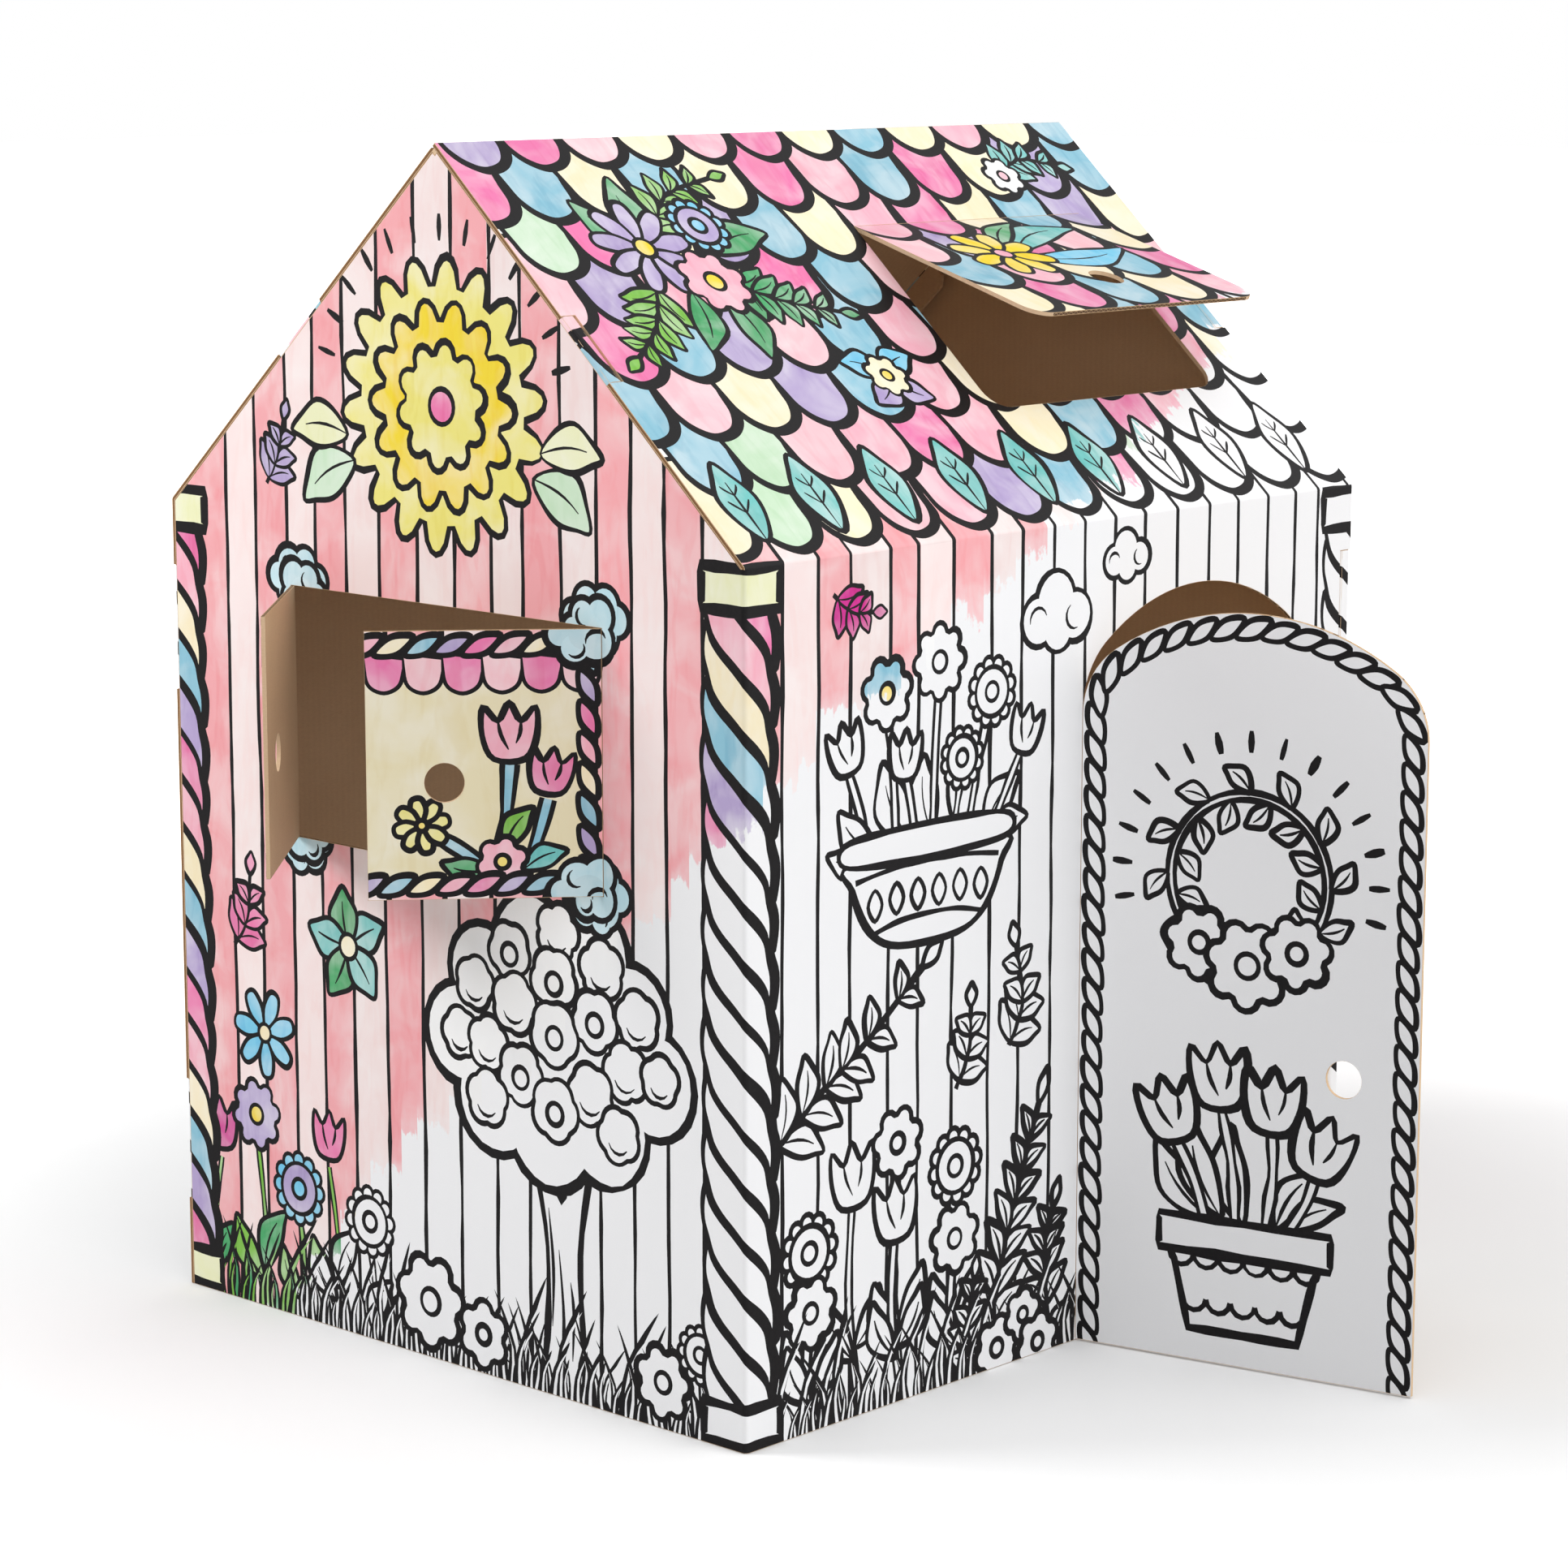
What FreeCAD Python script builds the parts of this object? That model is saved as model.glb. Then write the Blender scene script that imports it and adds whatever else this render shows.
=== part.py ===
import FreeCAD, Part
import math
import os

import Sketcher

# A child's playhouse folded out of two die-cut sheets of single-wall corrugated board. Each sheet makes
# one gable, one side wall and one roof slope, and the two are each other's half turn about the vertical
# axis, apart from the openings and the ridge flap. Millimetres, +Z up. The origin is the middle of the
# footprint on the floor, the front gable faces -Y and the wall with the door faces +X.

DRIVING_SIZES = [
    ("footprint_width", 820),  # outside, along the gables
    ("footprint_depth", 940),  # outside, along the side walls and the ridge
    ("eave_height", 845),  # sharp outer corner of wall and roof slope
    ("ridge_height", 1219),  # sharp outer corner of the two slopes
    ("board", 4),  # thickness of the corrugated board
    ("fold_inside", 1),  # inner radius of every crease
    ("knife_gap", 0.6),  # die-cut line all round a flap
    ("floor_gap", 1.5),  # under the door
    ("door_width", 372),
    ("door_jamb", 78),  # doorway to the outside of the rear gable
    ("door_spring", 652),  # where the door's arch begins
    ("door_rise", 114),  # from there to its crown
    ("door_shoulder", 82),  # radius of the arch beside each jamb
    ("door_open_angle", 78),
    ("window_width", 448),  # both shutters together, centred in the gable
    ("window_sill", 512),
    ("window_height", 259),
    ("shutter_open_angle", 48),
    ("hatch_width", 364),  # along the ridge
    ("hatch_margin", 90),  # hatch to the outside of the rear gable
    ("hatch_sill", 155),  # up the slope from the eave
    ("hatch_length", 260),  # up the slope, from its free edge to its crease
    ("hatch_corner", 26),  # radius of its two free corners
    ("hatch_open_angle", 25),
    ("finger_hole", 38),  # diameter
    ("door_hole_inset", 80),  # hole's centre to the flap's free edge
    ("door_hole_height", 312),
    ("shutter_hole_inset", 74),
    ("shutter_hole_height", 113),  # above the window's sill
    ("hatch_hole_inset", 80),
    ("hatch_hole_offset", 200),  # along the ridge from the hatch's front edge
    ("hook_reach", 18),  # outside of the gable to the far face of a hook's tongue
    ("hook_tongue", 34),  # how far the tongue dips in from the outside of the board it holds
    ("hook_play", 0.5),  # between a hook and its notch, on each side
    ("hook_taper", 9),  # cut off both corners of a hook's tongue, so that it finds its notch
    ("slope_hook_length", 86),
    ("slope_hook_centre", 278),  # up the slope from the eave
    ("wall_hook_length", 130),
    ("lower_hook_height", 160),
    ("upper_hook_height", 710),
    ("ridge_flap_width", 62),
    ("ridge_flap_gap", 0.3),  # between the ridge flap and the boards above and below it
    ("ridge_stub", 9),  # how much of the ridge flap runs out over each gable
    ("ridge_flap_taper", 30),  # how far each end of the flap is cut back
]

FOLLOWING_SIZES = [
    ("half_width", "footprint_width / 2"),
    ("half_depth", "footprint_depth / 2"),
    ("roof_rise", "ridge_height - eave_height"),
    ("slope_angle", "atan2(roof_rise; half_width)"),
    ("slope_cos", "cos(slope_angle)"),
    ("slope_sin", "sin(slope_angle)"),
    ("slope_tan", "tan(slope_angle)"),
    ("slope_length", "half_width / slope_cos"),  # eave to ridge, up the outer face
    ("fold_outside", "board + fold_inside"),
    ("eave_fold_start", "fold_outside * tan(45 deg - slope_angle / 2)"),  # sharp eave to the fold
    ("wall_top", "eave_height - eave_fold_start"),
    ("flap_depth", "board + ridge_flap_gap"),  # roof's outer face to the ridge flap's
    ("ridge_corner", "slope_length - flap_depth / sin(2 * slope_angle)"),
    ("ridge_fold_start", "ridge_corner - fold_outside * slope_tan"),
    ("stub_edge_depth", "flap_depth + board + ridge_flap_gap"),  # gable's edge under the stub
    ("stub_step", "ridge_stub + ridge_flap_gap - flap_depth / tan(2 * slope_angle)"),
    ("door_hinge_inset", "footprint_depth - door_jamb - door_width"),
    ("hatch_inset", "footprint_depth - hatch_margin - hatch_width"),
]

doc = FreeCAD.newDocument("playhouse")
sheet = doc.addObject("Spreadsheet::Sheet", "Sizes")
cells = [(alias, str(value)) for alias, value in DRIVING_SIZES]
cells += [(alias, "=" + formula) for alias, formula in FOLLOWING_SIZES]
for row, (alias, content) in enumerate(cells, start=1):
    sheet.set(f"A{row}", alias)
    sheet.setAlias(f"B{row}", alias)
    sheet.set(f"B{row}", content)
doc.recompute()


class Size:
    """A length or ratio that carries its value and the spreadsheet formula that gives it."""

    def __init__(self, value, formula):
        self.value = value
        self.formula = formula

    def __add__(self, other):
        return Size(self.value + other.value, f"({self.formula} + {other.formula})")

    def __sub__(self, other):
        return Size(self.value - other.value, f"({self.formula} - {other.formula})")

    def __mul__(self, other):
        return Size(self.value * other.value, f"{self.formula} * {other.formula}")

    def __truediv__(self, number):
        return Size(self.value / number, f"{self.formula} / {number}")

    def __neg__(self):
        return Size(-self.value, f"(0 - {self.formula})")


def sized(alias):
    value = sheet.get(alias)
    return Size(float(getattr(value, "Value", value)), f"Sizes.{alias}")


ZERO = Size(0.0, "0")
ONE = Size(1.0, "1")
width, depth = sized("footprint_width"), sized("footprint_depth")
half_width, half_depth = sized("half_width"), sized("half_depth")
eave, ridge, wall_top = sized("eave_height"), sized("ridge_height"), sized("wall_top")
slope_cos, slope_sin, slope_tan = sized("slope_cos"), sized("slope_sin"), sized("slope_tan")
board, knife = sized("board"), sized("knife_gap")
fold_in, fold_out = sized("fold_inside"), sized("fold_outside")

# Turns about Y that lay an upright board of the right-hand side into a roof slope
RIGHT_SLOPE = "Sizes.slope_angle - 90 deg"
LEFT_SLOPE = "0 deg - Sizes.slope_angle - 90 deg"


# ---------------------------------------------------------------------------------------------------
# Drawing: each sketch is a set of closed loops whose corners are bound to the spreadsheet
def bound_constraint(sketch, kind, references, size):
    index = sketch.addConstraint(Sketcher.Constraint(kind, *references, size.value))
    sketch.setExpression(f"Constraints[{index}]", size.formula)


def arc_to(corner, centre, radius, left=True):
    """A corner that the loop reaches by an arc about centre, turning left or right."""
    return (*corner, centre, radius, left)


def vector(point):
    return FreeCAD.Vector(point[0].value, point[1].value, 0)


def draw_loop(sketch, loop):
    edges = []
    for i, corner in enumerate(loop):
        start, end = vector(loop[i - 1]), vector(corner)
        if len(corner) == 2:
            edges.append((sketch.addGeometry(Part.LineSegment(start, end), False), 1, 2))
            continue
        centre, radius, left = corner[2:]
        middle = vector(centre)
        first, last = (start, end) if left else (end, start)
        angles = [math.atan2(p.y - middle.y, p.x - middle.x) for p in (first, last)]
        circle = Part.Circle(middle, FreeCAD.Vector(0, 0, 1), radius.value)
        index = sketch.addGeometry(Part.ArcOfCircle(circle, *angles), False)
        edges.append((index, 1, 2) if left else (index, 2, 1))
        bound_constraint(sketch, "Radius", (index,), radius)
    for i, corner in enumerate(loop):
        index, _, end_vertex = edges[i]
        following, start_vertex, _ = edges[(i + 1) % len(loop)]
        joint = Sketcher.Constraint("Coincident", index, end_vertex, following, start_vertex)
        sketch.addConstraint(joint)
        bound_constraint(sketch, "DistanceX", (-1, 1, index, end_vertex), corner[0])
        bound_constraint(sketch, "DistanceY", (-1, 1, index, end_vertex), corner[1])


def draw_circle(sketch, centre, diameter):
    circle = Part.Circle(vector(centre), FreeCAD.Vector(0, 0, 1), diameter.value / 2)
    index = sketch.addGeometry(circle, False)
    bound_constraint(sketch, "Diameter", (index,), diameter)
    bound_constraint(sketch, "DistanceX", (-1, 1, index, 3), centre[0])
    bound_constraint(sketch, "DistanceY", (-1, 1, index, 3), centre[1])


def padded(label, plane, loops, length, hole=None, reverse=False, midplane=False):
    """A body: one sketch of closed loops, and perhaps a round hole, on an origin plane, padded."""
    body = doc.addObject("PartDesign::Body", label)
    body.Label = label
    origin_plane = [f for f in body.Origin.OriginFeatures if f.Role == plane][0]
    sketch = body.newObject("Sketcher::SketchObject", label + "_outline")
    sketch.AttachmentSupport = [(origin_plane, "")]
    sketch.MapMode = "FlatFace"
    for loop in loops:
        draw_loop(sketch, loop)
    if hole:
        draw_circle(sketch, *hole)
    pad = body.newObject("PartDesign::Pad", label + "_pad")
    pad.Profile = sketch
    pad.Length = length.value
    pad.setExpression("Length", length.formula)
    pad.Reversed = reverse
    pad.Midplane = midplane
    body.Tip = pad
    return body


def place(body, position, turn="0 deg", axis=(0, 0, 1)):
    """Puts a body at a position of three sizes, turned about an axis by an angle's formula."""
    body.Placement = FreeCAD.Placement(FreeCAD.Vector(), FreeCAD.Rotation(FreeCAD.Vector(*axis), 10))
    for letter, size in zip("xyz", position):
        body.setExpression(f"Placement.Base.{letter}", size.formula)
    body.setExpression("Placement.Rotation.Angle", turn)
    return body


# ---------------------------------------------------------------------------------------------------
# Panels. Each is drawn flat, (across, up) from its own lower front corner, with the printed face on
# the sketch plane and the board behind it.
def rectangle(left, low, right, high):
    return [(left, low), (right, low), (right, high), (left, high)]


def notch(edge, centre, length, inward):
    """Corners of a hook's notch in an upright edge, met going up."""
    deep = edge + (sized("hook_reach") + sized("hook_play")) * inward
    low = centre - length / 2 - sized("hook_play")
    high = centre + length / 2 + sized("hook_play")
    return [(edge, low), (deep, low), (deep, high), (edge, high)]


def arch(front, inset):
    """Corners of the doorway's arched head from the front jamb to the rear one, or inset by the
    knife's gap for the door. A flat crown arc runs tangent into a tight arc beside each jamb."""
    half, spring = sized("door_width") / 2, sized("door_spring")
    shoulder, rise = sized("door_shoulder"), sized("door_rise")
    run, climb = half - shoulder, rise - shoulder
    drop_value = (run.value**2 - climb.value**2) / (2 * climb.value)
    drop = Size(drop_value, f"({(run * run - climb * climb).formula}) / (2 * {climb.formula})")
    reach = drop + climb  # between the crown's centre and a shoulder's
    share_value = (reach + shoulder - inset).value / reach.value
    share = Size(share_value, f"({(reach + shoulder - inset).formula}) / ({reach.formula})")
    across, up = run * share, spring - drop + drop * share
    middle, crown = front + half, reach + shoulder - inset
    tight = shoulder - inset
    return [
        (front + inset, spring),
        arc_to((middle - across, up), (front + shoulder, spring), tight, left=False),
        arc_to((middle + across, up), (middle, spring - drop), crown, left=False),
        arc_to((middle + half - inset, spring), (middle + run, spring), tight, left=False),
    ]


def gable_panel(sheet_name, window, stub_side):
    """The gable stops a fold's radius inside the wall and the two slopes that it meets. Its peak is
    cut lower on the side where the ridge flap's stub runs out over it."""
    step, deeper = sized("stub_step"), sized("stub_edge_depth")
    outer = (step * slope_cos - fold_out * slope_sin, step * slope_sin + fold_out * slope_cos)
    inner = (step * slope_cos - deeper * slope_sin, step * slope_sin + deeper * slope_cos)
    lean_formula = f"({(deeper - fold_out).formula}) / (2 * {slope_sin.formula})"
    lean = Size((deeper - fold_out).value / (2 * slope_sin.value), lean_formula)
    under = Size(fold_out.value / slope_cos.value, f"{fold_out.formula} / {slope_cos.formula}")
    top = (-lean, lean * slope_tan + under)
    head = [(half_width + across * stub_side, ridge - down) for across, down in (outer, inner, top)]
    if stub_side.value < 0:
        head.reverse()
    right = width - fold_out
    loops = [[(fold_out, ZERO), (right, ZERO), (right, wall_top), *head, (fold_out, wall_top)]]
    if window:
        sill, half_window = sized("window_sill"), sized("window_width") / 2
        top_edge = sill + sized("window_height")
        left_side, right_side = half_width - half_window, half_width + half_window
        loops.append(rectangle(left_side, sill, right_side, top_edge))
    panel = padded(sheet_name + "_gable", "XZ_Plane", loops, board, reverse=True)
    return place(panel, (-half_width, -half_depth, ZERO))


def wall_panel(sheet_name, doorway):
    """The side wall, from the corner's fold to its raw rear edge, which the other gable hooks over."""
    outline = [(fold_out, ZERO)]
    if doorway:
        hinge = sized("door_hinge_inset")
        outline += [(hinge, ZERO), *arch(hinge, ZERO), (hinge + sized("door_width"), ZERO)]
    outline.append((depth, ZERO))
    for height in ("lower_hook_height", "upper_hook_height"):
        outline += notch(depth, sized(height), sized("wall_hook_length"), -ONE)
    outline += [(depth, wall_top), (fold_out, wall_top)]
    panel = padded(sheet_name + "_wall", "YZ_Plane", [outline], board, reverse=True)
    return place(panel, (half_width, -half_depth, ZERO))


def roof_panel(sheet_name, top, hatch):
    """The roof slope, with a raw edge and one hook's notch over each gable."""
    centre, length = sized("slope_hook_centre"), sized("slope_hook_length")
    low = sized("eave_fold_start")
    outline = [(ZERO, low), (depth, low), *notch(depth, centre, length, -ONE)]
    outline += [(depth, top), (ZERO, top), *reversed(notch(ZERO, centre, length, ONE))]
    loops = [outline]
    if hatch:
        front, sill, round_off = sized("hatch_inset"), sized("hatch_sill"), sized("hatch_corner")
        rear, crease_line = front + sized("hatch_width"), sill + sized("hatch_length")
        loops.append([
            (front, sill + round_off),
            arc_to((front + round_off, sill), (front + round_off, sill + round_off), round_off),
            (rear - round_off, sill),
            arc_to((rear, sill + round_off), (rear - round_off, sill + round_off), round_off),
            (rear, crease_line),
            (front, crease_line),
        ])
    panel = padded(sheet_name + "_roof", "YZ_Plane", loops, board, reverse=True)
    return place(panel, (half_width, -half_depth, eave), RIGHT_SLOPE, (0, 1, 0))


# ---------------------------------------------------------------------------------------------------
# Creases and hooks
def crease(label, plane, turn_cos, turn_sin, length):
    """A crease: a sector of a ring of board about its own origin, padded along the fold."""
    loop = [
        (fold_out, ZERO),
        arc_to((fold_out * turn_cos, fold_out * turn_sin), (ZERO, ZERO), fold_out),
        (fold_in * turn_cos, fold_in * turn_sin),
        arc_to((fold_in, ZERO), (ZERO, ZERO), fold_in, left=False),
    ]
    return padded(label, plane, [loop], length)


def sheet_creases(sheet_name):
    corner = crease(sheet_name + "_corner_crease", "XY_Plane", ZERO, ONE, wall_top)
    place(corner, (half_width - fold_out, fold_out - half_depth, ZERO), "-90 deg")
    along_eave = crease(sheet_name + "_eave_crease", "XZ_Plane", slope_sin, slope_cos, depth)
    place(along_eave, (half_width - fold_out, half_depth, wall_top))
    return [corner, along_eave]


def hook(label, length):
    """A hook of the gable in section, padded both ways along the gable's edge: it folds through the
    notch of the board next to it, runs flush with that board's printed face and dips in behind.
    X points out through that board and Y in from the gable."""
    reach, tongue = sized("hook_reach"), sized("hook_tongue")
    near, far = (-fold_out, fold_out), (-fold_out, reach - fold_out)
    loop = [
        (-fold_out, ZERO),
        arc_to((ZERO, fold_out), near, fold_out),
        (ZERO, reach - fold_out),
        arc_to((-fold_out, reach), far, fold_out),
        (-tongue, reach),
        (-tongue, reach - board),
        (-fold_out, reach - board),
        arc_to((-board, reach - fold_out), far, fold_in, left=False),
        (-board, fold_out),
        arc_to((-fold_out, board), near, fold_in, left=False),
    ]
    body = padded(label, "XY_Plane", [loop], length, midplane=True)
    taper, over = sized("hook_taper"), board
    end, half = -tongue, length / 2
    upper = [(end - over, half - taper - over), (end + taper + over, half + over), (end - over, half + over)]
    lower = [(across, -up) for across, up in reversed(upper)]
    cut = body.newObject("Sketcher::SketchObject", label + "_corners")
    cut.AttachmentSupport = [([f for f in body.Origin.OriginFeatures if f.Role == "XZ_Plane"][0], "")]
    cut.MapMode = "FlatFace"
    for loop in (upper, lower):
        draw_loop(cut, loop)
    pocket = body.newObject("PartDesign::Pocket", label + "_taper")
    pocket.Profile = cut
    pocket.Type = "ThroughAll"
    pocket.Midplane = True
    body.Tip = pocket
    return body


def gable_hooks(sheet_name):
    """Two hooks over the other sheet's wall and one over each roof slope."""
    hooks = []
    for word in ("lower", "upper"):
        wall_hook = hook(f"{sheet_name}_{word}_hook", sized("wall_hook_length"))
        position = (-half_width, -half_depth, sized(word + "_hook_height"))
        hooks.append(place(wall_hook, position, "180 deg", (0, 1, 0)))
    along = sized("slope_hook_centre")
    across, up = half_width - along * slope_cos, eave + along * slope_sin
    for word, side, turn in (("right", across, RIGHT_SLOPE), ("left", -across, LEFT_SLOPE)):
        slope_hook = hook(f"{sheet_name}_{word}_slope_hook", sized("slope_hook_length"))
        hooks.append(place(slope_hook, (side, -half_depth, up), turn, (0, 1, 0)))
    return hooks


def ridge_flap(sheet_name):
    """The crease along the ridge and the flap that tucks under the other sheet's slope. Both ends of
    the flap are cut back behind the gables, apart from a short stub at the crease."""
    start, corner = sized("ridge_fold_start"), sized("ridge_corner")
    turn_cos = slope_cos * slope_cos - slope_sin * slope_sin
    turn_sin = slope_sin * slope_cos + slope_sin * slope_cos
    fold = crease(sheet_name + "_ridge_crease", "XZ_Plane", turn_cos, turn_sin, depth)
    fold_x = half_width - start * slope_cos - fold_out * slope_sin
    fold_z = eave + start * slope_sin - fold_out * slope_cos
    place(fold, (fold_x, half_depth, fold_z), RIGHT_SLOPE, (0, 1, 0))
    stub, flap_width, taper = sized("ridge_stub"), sized("ridge_flap_width"), sized("ridge_flap_taper")
    fold_end, clear = fold_out * slope_tan, board + fold_in
    outline = [
        (ZERO, fold_end),
        (depth, fold_end),
        (depth, stub),
        (depth - clear, stub),
        (depth - taper, flap_width),
        (taper, flap_width),
        (clear, stub),
        (ZERO, stub),
    ]
    flap = padded(sheet_name + "_ridge_flap", "YZ_Plane", [outline], board, reverse=True)
    position = (half_width - corner * slope_cos, -half_depth, eave + corner * slope_sin)
    return [fold, place(flap, position, LEFT_SLOPE, (0, 1, 0))]


# ---------------------------------------------------------------------------------------------------
# The two folded sheets
def folded_sheet(name, panels):
    fused = doc.addObject("Part::MultiFuse", name)
    fused.Label = name
    fused.Shapes = panels
    fused.Refine = True
    return fused


front_panels = [
    gable_panel("front", window=True, stub_side=ONE),
    wall_panel("front", doorway=True),
    roof_panel("front", sized("slope_length"), hatch=True),
]
rear_panels = [
    gable_panel("rear", window=False, stub_side=-ONE),
    wall_panel("rear", doorway=False),
    roof_panel("rear", sized("ridge_fold_start"), hatch=False),
]
front_sheet = folded_sheet(
    "front_sheet", front_panels + sheet_creases("front") + gable_hooks("front")
)
rear_sheet = folded_sheet(
    "rear_sheet",
    rear_panels + sheet_creases("rear") + gable_hooks("rear") + ridge_flap("rear"),
)
rear_sheet.Placement = FreeCAD.Placement(
    FreeCAD.Vector(), FreeCAD.Rotation(FreeCAD.Vector(0, 0, 1), 180)
)


# ---------------------------------------------------------------------------------------------------
# Flaps, each drawn from its own crease line and opened about it
def door():
    floor, far = sized("floor_gap"), sized("door_width") - knife
    outline = [(knife, floor), *arch(ZERO, knife), (far, floor)]
    centre = (sized("door_width") - sized("door_hole_inset"), sized("door_hole_height"))
    hole = (centre, sized("finger_hole"))
    flap = padded("door", "YZ_Plane", [outline], board, hole, reverse=True)
    crease_line = (half_width, sized("door_hinge_inset") - half_depth, ZERO)
    return place(flap, crease_line, "-1 deg * Sizes.door_open_angle")


def shutter(name, hinge_side, board_in_front, turn):
    half_window, sill = sized("window_width") / 2, sized("window_sill")
    high = sill + sized("window_height") - knife
    outline = rectangle(knife, sill + knife, half_window - knife / 2, high)
    centre = (half_window - sized("shutter_hole_inset"), sill + sized("shutter_hole_height"))
    hole = (centre, sized("finger_hole"))
    flap = padded(name, "XZ_Plane", [outline], board, hole, reverse=not board_in_front)
    return place(flap, (half_window * hinge_side, -half_depth, ZERO), turn)


def roof_hatch():
    """Drawn downwards from its crease line, so its printed face looks along -X before it turns."""
    across, length, round_off = sized("hatch_width"), sized("hatch_length"), sized("hatch_corner")
    left, right, low = knife, across - knife, length - knife
    tight = round_off - knife
    outline = [
        (left, knife),
        (right, knife),
        (right, length - round_off),
        arc_to((across - round_off, low), (across - round_off, length - round_off), tight),
        (round_off, low),
        arc_to((left, length - round_off), (round_off, length - round_off), tight),
    ]
    centre = (sized("hatch_hole_offset"), length - sized("hatch_hole_inset"))
    flap = padded("roof_hatch", "YZ_Plane", [outline], board, (centre, sized("finger_hole")))
    up = sized("hatch_sill") + length
    position = (half_width - up * slope_cos, sized("hatch_inset") - half_depth, eave + up * slope_sin)
    turn = "90 deg + Sizes.slope_angle - 1 deg * Sizes.hatch_open_angle"
    return place(flap, position, turn, (0, 1, 0))


nodes = [
    front_sheet,
    rear_sheet,
    door(),
    shutter("left_shutter", -ONE, False, "-1 deg * Sizes.shutter_open_angle"),
    shutter("right_shutter", ONE, True, "180 deg + 1 deg * Sizes.shutter_open_angle"),
    roof_hatch(),
]
doc.recompute()


# ---------------------------------------------------------------------------------------------------
# Checks and export
for item in doc.Objects:
    if "Invalid" in item.State or "Error" in item.State:
        raise RuntimeError(f"{item.Label} did not compute: {item.State}")

os.makedirs("parts", exist_ok=True)
for node in nodes:
    shape = node.Shape
    if shape.isNull() or not shape.isValid() or len(shape.Solids) != 1:
        raise RuntimeError(f"{node.Label} is not one valid solid")
    shape.exportStep(f"parts/{node.Label}.step")
    print(node.Label, [round(v, 2) for v in (shape.BoundBox.XMin, shape.BoundBox.XMax,
        shape.BoundBox.YMin, shape.BoundBox.YMax, shape.BoundBox.ZMin, shape.BoundBox.ZMax)],
        round(shape.Volume))
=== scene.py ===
"""Looks for a child's cardboard playhouse: two folded sheets of corrugated board, printed on the outside."""

import random
from math import atan2, cos, degrees, pi, radians, sin, tan, tau

import bpy
import numpy as np
from mathutils import Matrix, Vector, noise
from mathutils.geometry import delaunay_2d_cdt


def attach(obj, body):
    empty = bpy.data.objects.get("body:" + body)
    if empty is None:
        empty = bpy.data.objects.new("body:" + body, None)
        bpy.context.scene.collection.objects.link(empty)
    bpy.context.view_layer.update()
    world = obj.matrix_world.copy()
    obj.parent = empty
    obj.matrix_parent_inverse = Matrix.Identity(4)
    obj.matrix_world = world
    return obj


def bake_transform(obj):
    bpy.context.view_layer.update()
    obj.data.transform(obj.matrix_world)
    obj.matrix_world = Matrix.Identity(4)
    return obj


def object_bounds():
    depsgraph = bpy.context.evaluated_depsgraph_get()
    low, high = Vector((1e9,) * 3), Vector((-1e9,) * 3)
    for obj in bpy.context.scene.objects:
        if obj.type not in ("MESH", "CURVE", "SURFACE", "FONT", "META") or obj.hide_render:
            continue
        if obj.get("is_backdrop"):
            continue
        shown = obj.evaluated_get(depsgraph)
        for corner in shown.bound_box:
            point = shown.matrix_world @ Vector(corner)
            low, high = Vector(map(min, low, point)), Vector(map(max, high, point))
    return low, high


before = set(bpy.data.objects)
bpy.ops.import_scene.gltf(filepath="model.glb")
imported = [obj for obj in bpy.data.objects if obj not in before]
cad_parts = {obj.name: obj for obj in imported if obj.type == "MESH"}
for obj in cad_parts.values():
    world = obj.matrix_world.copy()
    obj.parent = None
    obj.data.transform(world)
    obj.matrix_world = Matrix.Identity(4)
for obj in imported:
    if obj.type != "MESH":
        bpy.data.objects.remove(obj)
cad_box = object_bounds()


# ----------------------------------------------------------------------
# The boards. Single-wall corrugated board: two kraft liners glued over a fluted core. The flutes stand
# upright in the walls and run up the slopes, and show through the liner as faint washboard lines.
FLUTE, BOARD, LINER = 0.0079, 0.004, 0.0006  # one wave of the core, the board and a liner, metres
HALF_WIDTH, HALF_DEPTH, DEPTH, EAVE, RIDGE = 410, 470, 940, 845, 1219  # the house, millimetres
SLOPE = atan2(RIDGE - EAVE, HALF_WIDTH)


def dye(red, green, blue):
    """A colour from a swatch book's 0-255 values, as the shaders want it."""
    return tuple(((c / 255 + 0.055) / 1.055) ** 2.4 for c in (red, green, blue)) + (1.0,)


def feed(node, inputs):
    """Gives each named input of a node a value or a link."""
    for key, value in inputs.items():
        if isinstance(value, bpy.types.NodeSocket):
            node.id_data.links.new(value, node.inputs[key])
        else:
            node.inputs[key].default_value = value
    return node


def add(kind, inputs=None, **settings):
    """Adds a node to the tree in hand, which is the one last made."""
    made = tree.nodes.new(kind if "Node" in kind else "ShaderNode" + kind)
    for key, value in settings.items():
        setattr(made, key, value)
    return feed(made, inputs or {})


def out(kind, inputs=None, **settings):
    """Adds a node and gives its first output."""
    return add(kind, inputs, **settings).outputs[0]


def sums(operation, *values):
    return out("Math", dict(enumerate(values)), operation=operation)


def blended(factor, first, second, mode="MIX"):
    return add("Mix", {0: factor, 6: first, 7: second}, data_type="RGBA", blend_type=mode).outputs[2]


def ranged(value, low, high, first=0.0, last=1.0, kind="LINEAR"):
    return out("MapRange", {0: value, 1: low, 2: high, 3: first, 4: last}, interpolation_type=kind)


def cloudy(place, scale, detail, **more):
    """A noise from 0 to 1; three scales stretch it."""
    if isinstance(scale, tuple):
        place, scale = out("Mapping", {"Vector": place, "Scale": scale}), 1.0
    return out("TexNoise", {"Vector": place, "Scale": scale, "Detail": detail, **more})


def new_material(name):
    global tree
    material = bpy.data.materials.new(name)
    material.use_nodes = True
    tree = material.node_tree
    tree.nodes.clear()
    shader = add("BsdfPrincipled")
    add("OutputMaterial", {0: shader.outputs[0]})
    return material, shader


def ribs(across):
    """The flutes' waves, from -1 to 1."""
    return sums("SINE", sums("MULTIPLY", across, tau / FLUTE))


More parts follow.
